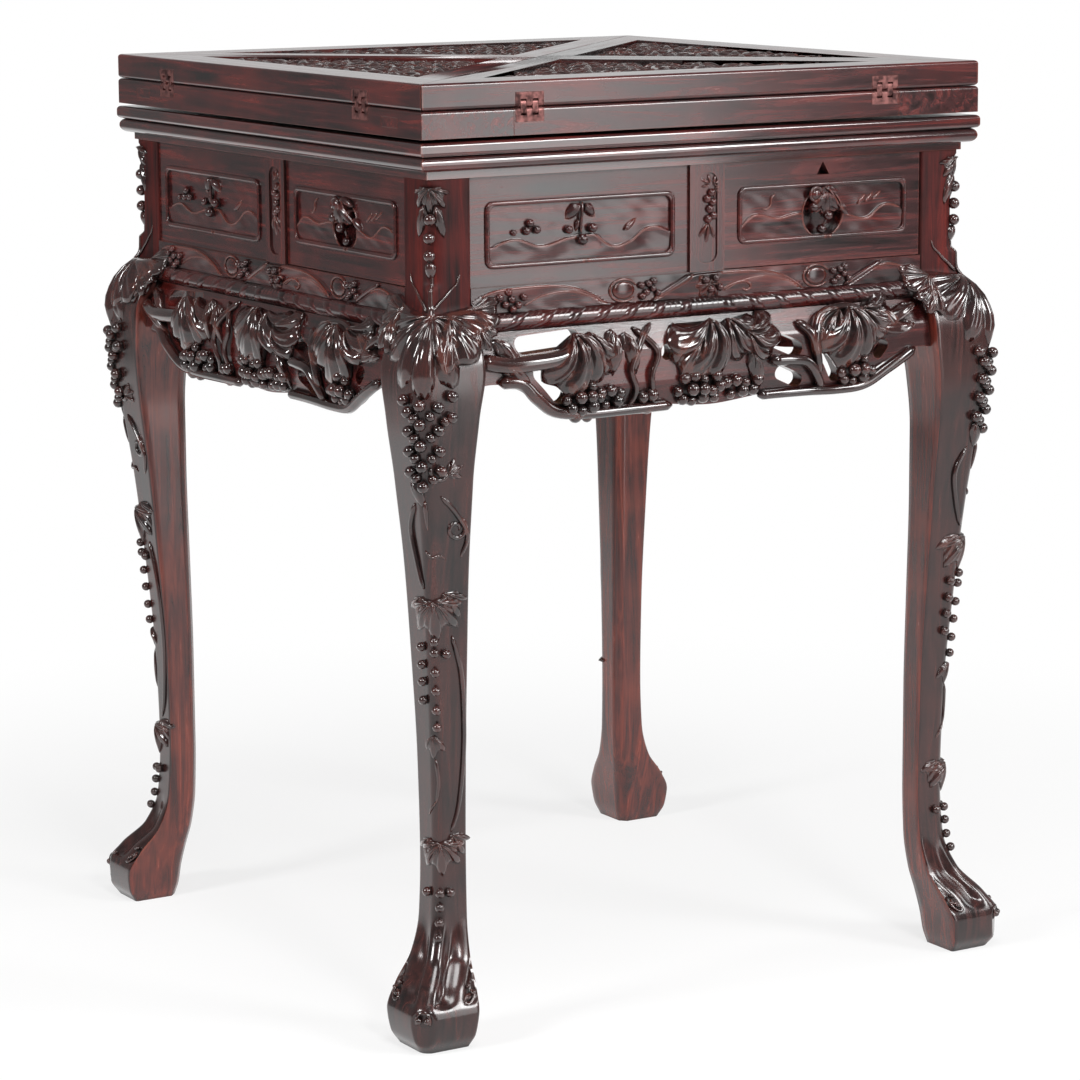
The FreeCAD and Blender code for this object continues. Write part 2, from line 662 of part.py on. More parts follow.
def make_board(leaf_pockets):
    """Turning board: side rails, end rails with through tenons, panel and batten."""
    slab = slab_with_arris(Z_BOARD_BOTTOM, Z_BOARD_TOP, Z_BOARD_TOP, 0)
    z_span = (Z_BOARD_BOTTOM, Z_BOARD_TOP)
    whole = (-TOP_HALF, TOP_HALF)
    inside = (-BOARD_OPENING, BOARD_OPENING)
    tongue_half = BOARD_OPENING + BOARD_TONGUE
    panel_bottom = Z_BOARD_TOP - BOARD_PANEL_THICKNESS
    tongue_low = (panel_bottom + Z_BOARD_TOP - BOARD_TONGUE_THICKNESS) / 2
    tongue = box((-tongue_half, tongue_half), (-tongue_half, tongue_half),
                 (tongue_low, tongue_low + BOARD_TONGUE_THICKNESS))
    panel = box(inside, inside, (panel_bottom, Z_BOARD_TOP)).fuse(tongue).removeSplitter()

    tenon_z = (Z_BOARD_BOTTOM + Z_BOARD_TOP - BOARD_TENON_THICKNESS) / 2
    tenon_y = -TOP_HALF + BOARD_TENON_INSET
    tenon_bar = box(whole, (tenon_y, tenon_y + BOARD_TENON_WIDTH), (tenon_z, tenon_z + BOARD_TENON_THICKNESS))
    end_rails = []
    for turns in (0, 2):
        rail = slab.common(box(inside, (-TOP_HALF, -BOARD_OPENING), z_span)).fuse(tenon_bar).removeSplitter()
        end_rails.append(turned(rail, turns).cut(tongue).cut(leaf_pockets))
    side_rails = []
    for turns in (1, 3):
        rail = turned(slab.common(box(whole, (-TOP_HALF, -BOARD_OPENING), z_span)), turns)
        side_rails.append(rail.cut([tongue] + end_rails).cut(leaf_pockets))

    plate_seat = pivot_cylinder(PIVOT_PLATE_RADIUS, Z_BOARD_BOTTOM, Z_BOARD_BOTTOM + PIVOT_PLATE_THICKNESS)
    batten = box(inside, (-BATTEN_WIDTH / 2, BATTEN_WIDTH / 2), (Z_BOARD_BOTTOM, panel_bottom))
    return side_rails, end_rails, panel, batten.cut(plate_seat)


# Flaps


def flap_triangle(diagonal_inset, edge_inset, z_low, z_high):
    """Prism of the front flap's triangle, moved in from the diagonals and from the outer edge."""
    slope = diagonal_inset * math.sqrt(2)
    base_y = -TOP_HALF + edge_inset
    half_base = -base_y - slope
    return plan_prism([(0, -slope), (-half_base, base_y), (half_base, base_y)], z_low, z_high)


def flap_leaf_places():
    """Place and turn of each main leaf on the front flap's panel."""
    base_y = -TOP_HALF + EDGE_RAIL
    apex_y = -(FLAP_GAP / 2 + DIAGONAL_RAIL) * math.sqrt(2)
    row_step = FLAP_LEAF_PITCH * math.sqrt(3) / 2
    columns = int(TOP_HALF / FLAP_LEAF_PITCH)
    places = []
    for row in range(int((apex_y - base_y) / row_step)):
        y = base_y + FLAP_LEAF_BASE_MARGIN + row * row_step
        room = apex_y - y - FLAP_LEAF_SIDE_MARGIN * math.sqrt(2)
        for column in range(-columns, columns + 1):
            x = (column + row % 2 / 2) * FLAP_LEAF_PITCH
            if abs(x) <= room:
                places.append((x, y, FLAP_LEAF_TURN * (column + 2 * row)))
    return places


def flap_leaf(x, y, turn, panel_top):
    """One main leaf: pointed lobes round its middle, tapering as they rise from the panel."""

    def outline(reach, level):
        points = []
        for step in range(2 * FLAP_LEAF_POINTS):
            radius = reach if step % 2 == 0 else reach * FLAP_LEAF_NOTCH
            angle = math.radians(turn) + step * math.pi / FLAP_LEAF_POINTS
            points.append(FreeCAD.Vector(x + radius * math.cos(angle), y + radius * math.sin(angle), level))
        return Part.makePolygon(points + points[:1])

    root = outline(FLAP_LEAF_REACH, panel_top - FLAP_LEAF_ROOT)
    crest = outline(FLAP_LEAF_REACH * FLAP_LEAF_TAPER, panel_top + FLAP_LEAF_RISE)
    return Part.makeLoft([root, crest], True, True)


def make_flap(leaf_pockets):
    """Front flap: outer rail, two diagonal rails and a sunk panel tongued into them, with leaves on it."""
    slab = slab_with_arris(Z_SEAM, TABLE_HEIGHT, Z_SEAM, TOP_ARRIS)
    whole = slab.common(flap_triangle(FLAP_GAP / 2, 0, Z_SEAM, TABLE_HEIGHT))
    opening_inset = FLAP_GAP / 2 + DIAGONAL_RAIL
    opening = flap_triangle(opening_inset, EDGE_RAIL, Z_SEAM, TABLE_HEIGHT)
    panel_top = Z_SEAM + FLAP_PANEL_THICKNESS
    tongue_low = Z_SEAM + (FLAP_PANEL_THICKNESS - FLAP_TONGUE_THICKNESS) / 2
    tongue = flap_triangle(opening_inset - FLAP_TONGUE, EDGE_RAIL - FLAP_TONGUE,
                           tongue_low, tongue_low + FLAP_TONGUE_THICKNESS)
    panel = flap_triangle(opening_inset, EDGE_RAIL, Z_SEAM, panel_top).fuse(tongue).removeSplitter()
    panel = panel.fuse([flap_leaf(*place, panel_top) for place in flap_leaf_places()])

    z_span = (Z_SEAM, TABLE_HEIGHT)
    outer_zone = box((-TOP_HALF, TOP_HALF), (-TOP_HALF, -TOP_HALF + EDGE_RAIL), z_span)
    ring = whole.cut([opening, tongue])
    outer_rail = ring.common(outer_zone).cut(leaf_pockets)
    rails = [outer_rail]
    for side in (-1, 1):
        zone = box((0, side * TOP_HALF), (-TOP_HALF + EDGE_RAIL, 0), z_span)
        rails.append(ring.common(zone))
    return slab, rails, panel


# Drawers


def pull_leaf(centre_x, root_z, face_y, slant):
    """One leaf of the carved pull: a flat ellipse hanging from its root."""
    ellipse = Part.Ellipse(ORIGIN, PULL_LEAF_LENGTH, PULL_LEAF_WIDTH)
    leaf = Part.Face(Part.Wire([ellipse.toShape()]))
    leaf.translate(FreeCAD.Vector(PULL_LEAF_LENGTH - PULL_LEAF_WIDTH, 0, 0))
    leaf.rotate(ORIGIN, Z_AXIS, -90 + slant)
    leaf.rotate(ORIGIN, X_AXIS, 90)
    leaf.translate(FreeCAD.Vector(centre_x, face_y, root_z))
    return leaf.extrude(Y_AXIS * -PULL_THICKNESS)


def make_drawer(notched):
    """Front drawer: front with scoop and pull, two sides and a back, and a bottom in grooves."""
    face_y = -DRAWER_FACE
    front_back = face_y + DRAWER_FRONT_THICKNESS
    end_y = face_y + DRAWER_DEPTH
    x_span = (DRAWER_LEFT, DRAWER_RIGHT)
    centre_x = (DRAWER_LEFT + DRAWER_RIGHT) / 2
    front = box(x_span, (face_y, front_back), (DRAWER_LOW, DRAWER_HIGH))
    bead_x = shrunk(x_span, BEAD_SIDE_MARGIN)
    bead_z = (DRAWER_LOW + DRAWER_BEAD_LOW_MARGIN, DRAWER_HIGH - DRAWER_BEAD_TOP_MARGIN)
    front = beaded_field(front, bead_x, bead_z, face_y)

    field_y = face_y + FIELD_DEPTH
    scoop_z = bead_z[0] + BEAD_WIDTH + SCOOP_RADIUS - SCOOP_RISE
    scoop = Part.makeCylinder(SCOOP_RADIUS, FIELD_DEPTH + SCOOP_DEPTH,
                              FreeCAD.Vector(centre_x, face_y, scoop_z), Y_AXIS)
    root_z = bead_z[1] - BEAD_WIDTH - PULL_LEAF_WIDTH
    slants = (-PULL_LEAF_SPREAD, 0, PULL_LEAF_SPREAD)
    leaves = [pull_leaf(centre_x, root_z, field_y, slant) for slant in slants]
    front = front.cut(scoop).fuse(leaves).removeSplitter()
    if notched:
        top = DRAWER_HIGH - NOTCH_DROP
        corners = [
            FreeCAD.Vector(centre_x - NOTCH_WIDTH / 2, face_y, top - NOTCH_HEIGHT),
            FreeCAD.Vector(centre_x + NOTCH_WIDTH / 2, face_y, top - NOTCH_HEIGHT),
            FreeCAD.Vector(centre_x, face_y, top),
        ]
        front = front.cut(prism(corners, Y_AXIS * NOTCH_DEPTH))

    bottom_low = DRAWER_LOW + DRAWER_BOTTOM_RAISE
    bottom_high = bottom_low + DRAWER_BOTTOM_THICKNESS
    groove = DRAWER_SIDE_THICKNESS - DRAWER_GROOVE
    bottom = box(shrunk(x_span, groove), (front_back - DRAWER_GROOVE, end_y), (bottom_low, bottom_high))
    side_z = (DRAWER_LOW, DRAWER_LOW + DRAWER_SIDE_HEIGHT)
    inside = shrunk(x_span, DRAWER_SIDE_THICKNESS)
    walls = [
        box((x_span[0], inside[0]), (front_back, end_y), side_z).cut(bottom),
        box((inside[1], x_span[1]), (front_back, end_y), side_z).cut(bottom),
        box(inside, (end_y - DRAWER_SIDE_THICKNESS, end_y), (bottom_high, side_z[1])),
    ]
    return front.cut(bottom), walls, bottom


# The whole table


def build():
    """All nodes by name, each a shape or a list of shapes."""
    nodes = {}
    leg = make_leg()
    legs = [turned(leg, turns) for turns in range(4)]
    for corner, shape in zip(CORNERS, legs):
        nodes[f"leg_{corner}"] = shape

    pivot_hole = pivot_cylinder(PIVOT_RADIUS + PIVOT_CLEARANCE, Z_BEARER_BOTTOM, Z_BOARD_BOTTOM)
    bearer = make_bearer()
    side_pieces = {
        "lower_rail": make_lower_rail(legs),
        "apron": make_apron(legs),
        "cornice": make_cornice(),
        "blind_panel": make_blind_panel(),
    }
    for name, shape in side_pieces.items():
        for turns, side in enumerate(SIDES):
            piece = turned(shape, turns)
            nodes[f"{name}_{side}"] = piece.cut(bearer) if name == "cornice" else piece
    divider = make_divider()
    nodes["dividers"] = [turned(divider, turns) for turns in range(4)]
    nodes["dust_board"] = dust_board_blank().cut(legs)
    nodes["drawer_runners"] = [turned(runner, turns) for turns in range(4) for runner in make_runners()]
    nodes["pivot_bearer"] = bearer.cut(pivot_hole)
    disc_top = Z_BOARD_BOTTOM - PIVOT_DISC_GAP
    nodes["pivot_disc"] = pivot_cylinder(PIVOT_DISC_RADIUS, Z_BEARER_TOP, disc_top).cut(pivot_hole)

    flap_pockets = [hinge_pocket(centre, Z_SEAM, 1) for centre in hinge_centres()]
    board_pockets = [
        turned(hinge_pocket(centre, Z_BOARD_TOP, -1), turns)
        for turns in range(4) for centre in hinge_centres()
    ]
    side_rails, end_rails, panel, batten = make_board(board_pockets)
    nodes["board_side_rails"] = side_rails
    nodes["board_end_rails"] = end_rails
    nodes["board_panel"] = panel
    nodes["board_batten"] = batten
    nut_top = Z_BEARER_BOTTOM - PIVOT_NUT_GAP
    nut_bottom = nut_top - PIVOT_NUT_HEIGHT
    plate = pivot_cylinder(PIVOT_PLATE_RADIUS, Z_BOARD_BOTTOM, Z_BOARD_BOTTOM + PIVOT_PLATE_THICKNESS)
    shaft = pivot_cylinder(PIVOT_RADIUS, nut_bottom - PIVOT_THREAD_END, Z_BOARD_BOTTOM)
    nodes["pivot_bolt"] = plate.fuse(shaft).removeSplitter()
    nodes["pivot_nut"] = pivot_cylinder(PIVOT_NUT_RADIUS, nut_bottom, nut_top).cut(shaft)
    board_slab = slab_with_arris(Z_BOARD_BOTTOM, Z_BOARD_TOP, Z_BOARD_TOP, 0)
    nodes["board_hinge_leaves"] = [
        turned(hinge_leaf(centre, Z_BOARD_TOP, -1, board_slab), turns)
        for turns in range(4) for centre in hinge_centres()
    ]

    flap_slab, flap_rails, flap_panel = make_flap(flap_pockets)
    leaves = [hinge_leaf(centre, Z_SEAM, 1, flap_slab) for centre in hinge_centres()]
    links = [hinge_link(place) for centre in hinge_centres() for place in link_places(centre)]
    for turns, side in enumerate(SIDES):
        nodes[f"flap_{side}_frame"] = [turned(rail, turns) for rail in flap_rails]
        nodes[f"flap_{side}_panel"] = turned(flap_panel, turns)
        nodes[f"flap_{side}_hinge_leaves"] = [turned(leaf, turns) for leaf in leaves]
        nodes[f"hinge_links_{side}"] = [turned(link, turns) for link in links]
        front, walls, bottom = make_drawer(notched=side == "front")
        nodes[f"drawer_face_{side}"] = turned(front, turns)
        nodes[f"drawer_box_{side}"] = [turned(wall, turns) for wall in walls]
        nodes[f"drawer_bottom_{side}"] = turned(bottom, turns)
    return nodes


def main():
    """Write one STEP file for each node."""
    os.makedirs("parts", exist_ok=True)
    for name, shape in build().items():
        whole = Part.makeCompound(shape) if isinstance(shape, list) else shape
        whole.exportStep(f"parts/{name}.step")


main()
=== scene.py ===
"""Looks of a carved rosewood card table with an envelope top, dressed over its CAD frame."""

import logging
import math
from dataclasses import dataclass
from enum import Enum
from typing import Any, Iterable, Protocol, Sequence

import bmesh
import bpy
import numpy as np
from bpy.types import Material, Mesh, MeshPolygon, Node, NodeSocket, NodeTree, Object
from mathutils import Matrix, Vector


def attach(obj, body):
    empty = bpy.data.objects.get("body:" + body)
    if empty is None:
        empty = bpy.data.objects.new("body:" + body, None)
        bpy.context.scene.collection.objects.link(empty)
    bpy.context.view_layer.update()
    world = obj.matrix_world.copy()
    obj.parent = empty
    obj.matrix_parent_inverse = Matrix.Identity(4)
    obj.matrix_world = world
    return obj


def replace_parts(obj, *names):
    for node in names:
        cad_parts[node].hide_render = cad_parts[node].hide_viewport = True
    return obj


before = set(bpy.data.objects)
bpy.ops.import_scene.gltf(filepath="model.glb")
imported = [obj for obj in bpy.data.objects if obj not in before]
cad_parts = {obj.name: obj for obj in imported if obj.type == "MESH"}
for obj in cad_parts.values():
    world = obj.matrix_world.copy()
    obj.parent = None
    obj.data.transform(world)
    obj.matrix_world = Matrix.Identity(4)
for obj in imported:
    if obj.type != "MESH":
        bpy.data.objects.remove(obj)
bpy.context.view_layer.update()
LOG = logging.getLogger("card_table")
MM = 0.001
SIDES = ("front", "right", "back", "left")
CORNERS = ("front_left", "front_right", "back_right", "back_left")

Path = Sequence[tuple[float, ...]]
Triple = tuple[float, float, float]
Quad = tuple[float, float, float, float]


# Carved shapes: (u, v) on the surface and h off it, in millimetres


@dataclass
class Shape:
    """A carved shape, as points (u, v, h) in mm and faces by point number.

    A shape with a pin keeps its form and sits square on the surface there. One without bends with it.
    """

    points: np.ndarray
    faces: list[tuple[int, ...]]
    pin: tuple[float, float] | None = None

    def placed(self, u: float, v: float, turn: float = 0.0, lift: float = 0.0) -> "Shape":
        """A copy set on the surface.

        Args:
            u: place along the surface in mm.
            v: place up the surface in mm.
            turn: anticlockwise turn on the surface in degrees.
            lift: rise off the surface in mm.

        Returns:
            The placed copy.
        """
        c, s = math.cos(math.radians(turn)), math.sin(math.radians(turn))
        flat = self.points[:, :2] @ np.array([[c, s], [-s, c]]) + (u, v)
        pin = None if self.pin is None else (u, v)
        return Shape(np.column_stack([flat, self.points[:, 2] + lift]), self.faces, pin)


def grid_faces(rows: int, columns: int, wrap: bool = False) -> list[tuple[int, ...]]:
    """Quads of a grid whose points run along each row in turn.

    Args:
        rows: number of rows of points.
        columns: number of points in a row.
        wrap: True where the last column joins the first.

    Returns:
        The quads.
    """
    last = columns if wrap else columns - 1
    faces = []
    for r in range(rows - 1):
        for c in range(last):
            d = (c + 1) % columns
            faces.append((r * columns + c, r * columns + d, (r + 1) * columns + d, (r + 1) * columns + c))
    return faces


def smooth_path(stops: Path, count: int) -> np.ndarray:
    """A smooth line through the stops, evenly spaced along its length.

    Args:
        stops: points that the line passes through, of any dimension.
        count: number of points wanted.

    Returns:
        An array of points.
    """
    between = 12
    knots = np.array(stops, float)
    padded = np.vstack([2 * knots[0] - knots[1], knots, 2 * knots[-1] - knots[-2]])
    steps = np.linspace(0, 1, between, endpoint=False)[:, None]
    line = []
    for a, b, c, d in zip(padded, padded[1:], padded[2:], padded[3:]):
        bend = 2 * a - 5 * b + 4 * c - d + steps * (3 * (b - c) + d - a)
        line.append(b + steps / 2 * (c - a + steps * bend))
    line = np.vstack(line + [knots[-1:]])
    run = np.concatenate([[0], np.cumsum(np.linalg.norm(np.diff(line, axis=0), axis=1))])
    wanted = np.linspace(0, run[-1], count)
    return np.column_stack([np.interp(wanted, run, column) for column in line.T])


@dataclass(frozen=True)
class VineLeaf:
    """A carved vine leaf: pointed lobes fanned round the stem, crowned and grooved along the veins.

    Length and heights are in mm, spread and swirl in degrees. Notch and shorten are shares of the length.
    """

    length: float
    spread: float
    lobes: int
    crown: float
    groove: float
    notch: float = 0.34
    point: float = 1.15
    shorten: float = 0.3
    ribs: int = 3
    vein_run: float = 0.9
    flute: float = 2.0
    swirl: float = 0.0
    lip: float = 0.9
    sink: float = 2.0

    def shape(self) -> Shape:
        """The leaf with its stem at the origin and its tip towards +v, closed underneath.

        Returns:
            The shape, in mm.
        """
        rings, spokes = 7, self.lobes * 12
        phase = np.linspace(-self.lobes / 2, self.lobes / 2, spokes + 1)
        share = np.linspace(0, 1, rings + 1)[1:, None]
        outer = 1 - self.shorten * (2 * np.abs(phase) / self.lobes) ** 2
        reach = self.length * outer * (1 - self.notch * np.abs(np.sin(math.pi * phase)) ** self.point)
        angle = math.radians(self.spread) * phase / self.lobes + math.radians(self.swirl) * share**2
        belly = np.cos(math.pi * phase) ** 2
        height = self.crown * (0.5 * (1 - share**3) + 0.5 * belly * np.sin(math.pi * share**0.8))
        veins = (0.5 + 0.5 * np.cos(2 * math.pi * self.ribs * phase)) ** self.flute
        height = height - self.groove * veins * np.sin(math.pi * np.minimum(share * self.vein_run, 1)) ** 0.6
        height = height + self.lip
        grid = np.stack([share * reach * np.sin(angle), share * reach * np.cos(angle), height], axis=-1)
        width = spokes + 1
        points = [np.array([[0, 0, self.crown * 0.45]]), grid.reshape(-1, 3)]
        faces = [(0, 1 + c, 2 + c) for c in range(spokes)]
        faces += [tuple(i + 1 for i in face) for face in grid_faces(rings, width)]
        rim = [0] + [1 + r * width for r in range(rings)]
        rim += [1 + (rings - 1) * width + c for c in range(1, width)]
        rim += [1 + r * width + spokes for r in range(rings - 2, -1, -1)]
        top = np.vstack(points)
        base = top[rim].copy()
        base[:, 2] = -self.sink
        first, count = len(top), len(rim)
        for i in range(count):
            j = (i + 1) % count
            faces.append((rim[j], rim[i], first + i, first + j))
            if 0 < i < count - 1:
                faces.append((first, first + i + 1, first + i))
        return Shape(np.vstack([top, base]), [face[::-1] for face in faces])

    def placed(self, u: float, v: float, turn: float = 0.0, lift: float = 0.0) -> Shape:
        """The leaf set on the surface, in the way of Shape.placed."""
        return self.shape().placed(u, v, turn, lift)


def berry(radius: float, sunk: float = 0.45) -> Shape:
    """A round berry pressed into the ground.

    Args:
        radius: its radius in mm.
        sunk: share of the radius that stays under the surface.

    Returns:
        The berry with its middle over the origin.
    """
    rings, sides = 7, 12
    polar = np.linspace(0, math.pi, rings + 1)[1:-1, None]
    around = np.linspace(0, 2 * math.pi, sides, endpoint=False)[None, :]
    ball = np.stack([np.sin(polar) * np.cos(around), np.sin(polar) * np.sin(around),
                     np.cos(polar) + 0 * around], axis=-1).reshape(-1, 3)
    points = np.vstack([ball, [[0, 0, 1]], [[0, 0, -1]]]) * radius
    points[:, 2] += radius * (1 - sunk)
    top, bottom, low = len(ball), len(ball) + 1, (rings - 2) * sides
    faces = [face[::-1] for face in grid_faces(rings - 1, sides, wrap=True)]
    faces += [(top, i, (i + 1) % sides) for i in range(sides)]
    faces += [(bottom, low + (i + 1) % sides, low + i) for i in range(sides)]
    return Shape(points, faces, (0.0, 0.0))


def berries(spots: Iterable[tuple[float, float]], radius: float, sunk: float = 0.45,
            lift: float = 0.0) -> list[Shape]:
    """Berries of one size, each set at its place (u, v) in mm."""
    return [berry(radius, sunk).placed(u, v, lift=lift) for u, v in spots]


def pebble(long: float, wide: float, rise: float) -> Shape:
    """A low oval boss.

    Args:
        long: half its length in mm.
        wide: half its width in mm.
        rise: its height in mm.

    Returns:
        The boss with its middle over the origin and its length along u.
    """
    ball = berry(1.0, 0.5)
    return Shape(ball.points * (long, wide, rise / 1.5), ball.faces)


def stem(stops: Path, thick: float, thin: float, density: float = 0.4) -> Shape:
    """A round stem or tendril along a smooth line.

    Args:
        stops: points (u, v) or (u, v, h) that its middle passes through, in mm.
        thick: radius at the start.
        thin: radius at the end.
        density: rings for each mm of length.

    Returns:
        The closed stem.
    """
    knots = np.array([tuple(stop) + (0.0,) * (3 - len(stop)) for stop in stops])
    length = np.linalg.norm(np.diff(knots, axis=0), axis=1).sum()
    count, sides = max(6, int(length * density)), 8
    line = smooth_path(knots, count)
    ahead = np.gradient(line, axis=0)
    ahead /= np.linalg.norm(ahead, axis=1, keepdims=True)
    across = np.cross(ahead, [0.0, 0.0, 1.0])
    across /= np.maximum(np.linalg.norm(across, axis=1, keepdims=True), 1e-6)
    over = np.cross(across, ahead)
    share = np.linspace(0, 1, count)
    tip = 0.35
    radius = thick + (thin - thick) * share
    radius = radius * np.minimum(1, np.minimum(share, 1 - share) * count * tip + tip)
    turn = np.linspace(0, 2 * math.pi, sides, endpoint=False)
    ring = across[:, None] * np.cos(turn)[:, None] + over[:, None] * np.sin(turn)[:, None]
    points = (line[:, None] + ring * radius[:, None, None]).reshape(-1, 3)
    faces = grid_faces(count, sides, wrap=True)
    faces += [tuple(range(sides))[::-1], tuple(range((count - 1) * sides, count * sides))]
    return Shape(points, faces)


def stems(*runs: tuple[Any, ...]) -> list[Shape]:
    """Stems, each given by its stops, the radii at its ends and, if need be, its density."""
    return [stem(*run) for run in runs]


def bank(left: float, right: float, low: float, high: float, line: np.ndarray, rise: float, fall: float,
         hole: Triple | None = None) -> Shape:
    """A tooled ground that stands highest just under a waving line and falls away below it.

    Args:
        left: its left edge in mm.
        right: its right edge.
        low: its lower edge.
        high: its upper edge.
        line: points (u, v) along the line, with u rising.
        rise: height under the line.
        fall: how far below the line it has mostly fallen away.
        hole: middle and radius of a round opening, if it has one.

    Returns:
        The ground.
    """
    columns, rows = 161, 91
    u, v = np.meshgrid(np.linspace(left, right, columns), np.linspace(low, high, rows), indexing="ij")
    under = np.interp(u, line[:, 0], line[:, 1]) - v
    step = np.clip(under / 1.4 + 0.5, 0, 1)
    height = rise * step**2 * (3 - 2 * step) * np.exp(-(np.maximum(under, 0) / fall) ** 1.3)
    # Low ripples, as a gouge leaves them
    height += 0.4 + 0.13 * np.sin(u / 5.3 + 1.3 * np.sin(v / 4.1)) * np.sin(v / 3.7 + u / 11)
    ripple = np.sin(u / 9.1 + 2 * np.sin(v / 7.3 + u / 37))
    height += 0.12 * ripple * np.sin(v / 6.1 - u / 23 + np.sin(u / 17))
    points = np.stack([u, v, height], axis=-1).reshape(-1, 3)
    faces = grid_faces(columns, rows)
    if hole is not None:
        off = points[:, :2] - hole[:2]
        far = np.linalg.norm(off, axis=1)
        rim = np.abs(far - hole[2]) < 0.9
        points[rim, :2] = np.array(hole[:2]) + off[rim] * (hole[2] / far[rim])[:, None]
        far[rim] = hole[2]
        faces = [face for face in faces if far[list(face)].mean() > hole[2] + 1e-6]
    return Shape(points, faces)


def scroll(u: float, v: float, start: float, end: float, turns: float, face: float, hand: int) -> Path:
    """Stops of a scroll that winds in from its outer end.

    Args:
        u: middle along the surface.
        v: middle up the surface.
        start: outer radius.
        end: inner radius.
        turns: number of turns.
        face: direction of the outer end in degrees.
        hand: 1 winds anticlockwise, -1 clockwise.

    Returns:
        The stops, for a stem.
    """
    count = max(5, int(turns * 8))
    path = []
    for i in range(count + 1):
        share = i / count
        radius = start + (end - start) * share
        angle = math.radians(face) + hand * 2 * math.pi * turns * share
        path.append((u + radius * math.cos(angle), v + radius * math.sin(angle)))
    return path


# Surfaces that carving lies on


class Surface(Protocol):
    """Something that carries carving."""

    def to_space(self, points: np.ndarray) -> np.ndarray:
        """Places points (u, v, h) on the surface, in mm of the table's frame."""


@dataclass(frozen=True)
class FrontFace:
    """An upright flat face that looks to the front, at a distance from the table's middle."""

    out: float

    def to_space(self, points: np.ndarray) -> np.ndarray:
        """u runs to the right, v is the height, h comes out of the face."""
        return np.column_stack([points[:, 0], -self.out - points[:, 2], points[:, 1]])


@dataclass(frozen=True)
class LevelFace:
    """A level face that looks up, at a height."""

    height: float

    def to_space(self, points: np.ndarray) -> np.ndarray:
        """u runs to the right, v to the back, h rises."""
        return np.column_stack([points[:, 0], points[:, 1], self.height + points[:, 2]])


@dataclass(frozen=True)
class BulgedFace:
    """The front of an apron, which swells between its top and its lower edge."""

    heights: tuple[float, ...] = (503.6, 527.6, 554.6, 576.6)
    reaches: tuple[float, ...] = (269.0, 274.0, 274.0, 263.0)
    blend: float = 6.0

    def to_space(self, points: np.ndarray) -> np.ndarray:
        """u runs to the right, v is the height, h stands off the swelling face.

        Args:
            points: rows of u, v and h in mm.

        Returns:
            The points, in mm of the table's frame.
        """
        u, v, h = points.T
        low, out, high = (np.interp(v + step, self.heights, self.reaches)
                          for step in (-self.blend, 0, self.blend))
        slope = (high - low) / (2 * self.blend)
        norm = np.sqrt(1 + slope**2)
        return np.column_stack([u, -out - h / norm, v - h * slope / norm])


@dataclass(frozen=True)
class LegFace:
    """The two outer faces of the front left leg, folded round its corner.

    The stations give the height, the corner's distance from the table's middle, the inner faces'
    distance and the corner's radius.
    """

    stations: tuple[Quad, ...]

    def section(self, height: np.ndarray) -> np.ndarray:
        """Corner distance, inner distance and corner radius at heights, by smooth interpolation."""
        table = np.array(self.stations)
        return np.column_stack([smooth_between(height, table[:, 0], table[:, k]) for k in (1, 2, 3)])

    def to_space(self, points: np.ndarray) -> np.ndarray:
        """u runs round the corner, to the front face where it is positive; v is the height; h stands off.

        Args:
            points: rows of u, v and h in mm.

        Returns:
            The points, in mm of the table's frame.
        """
        corner, _, radius = self.section(points[:, 1]).T
        arc = radius * math.pi / 4
        bend = np.clip(points[:, 0] / radius, -math.pi / 4, math.pi / 4)
        nx, ny = -np.sin(math.pi / 4 - bend), -np.cos(math.pi / 4 - bend)
        x = -corner + radius + (radius + points[:, 2]) * nx + np.maximum(points[:, 0] - arc, 0)
        y = -corner + radius + (radius + points[:, 2]) * ny + np.maximum(-points[:, 0] - arc, 0)
        return np.column_stack([x, y, points[:, 1]])


def smooth_between(wanted: np.ndarray, places: np.ndarray, values: np.ndarray) -> np.ndarray:
    """Smooth interpolation that never overshoots its knots.

    Args:
        wanted: places to read.
        places: rising places of the knots.
        values: values at the knots.

    Returns:
        The values at the wanted places.
    """
    step = np.diff(places)
    rise = np.diff(values) / step
    slope = np.zeros(len(places))
    slope[0], slope[-1] = rise[0], rise[-1]
    for i in range(1, len(places) - 1):
        if rise[i - 1] * rise[i] > 0:
            a, b = 2 * step[i] + step[i - 1], step[i] + 2 * step[i - 1]
            slope[i] = (a + b) / (a / rise[i - 1] + b / rise[i])
    at = np.clip(np.searchsorted(places, wanted, side="right") - 1, 0, len(step) - 1)
    t = np.clip((wanted - places[at]) / step[at], 0, 1)
    return ((1 + 2 * t) * (1 - t) ** 2 * values[at] + t * (1 - t) ** 2 * step[at] * slope[at]
            + t**2 * (3 - 2 * t) * values[at + 1] + t**2 * (t - 1) * step[at] * slope[at + 1])


def laid(shape: Shape, surface: Surface) -> np.ndarray:
    """Sets a shape on a surface.

    Args:
        shape: the carved shape.
        surface: what it lies on.

    Returns:
        Its points, in mm of the table's frame.
    """
    if shape.pin is None:
        return surface.to_space(shape.points)
    u, v = shape.pin
    spot, right, left, above, below, off = surface.to_space(np.array([
        (u, v, 0), (u + 1, v, 0), (u - 1, v, 0), (u, v + 1, 0), (u, v - 1, 0), (u, v, 1)], float))
    across, up = right - left, above - below
    across, up = across / np.linalg.norm(across), up / np.linalg.norm(up)
    out = np.cross(across, up)
    out *= np.sign(out @ (off - spot)) / np.linalg.norm(out)
    return spot + (shape.points - (u, v, 0)) @ np.array([across, up, out])


# Finishes


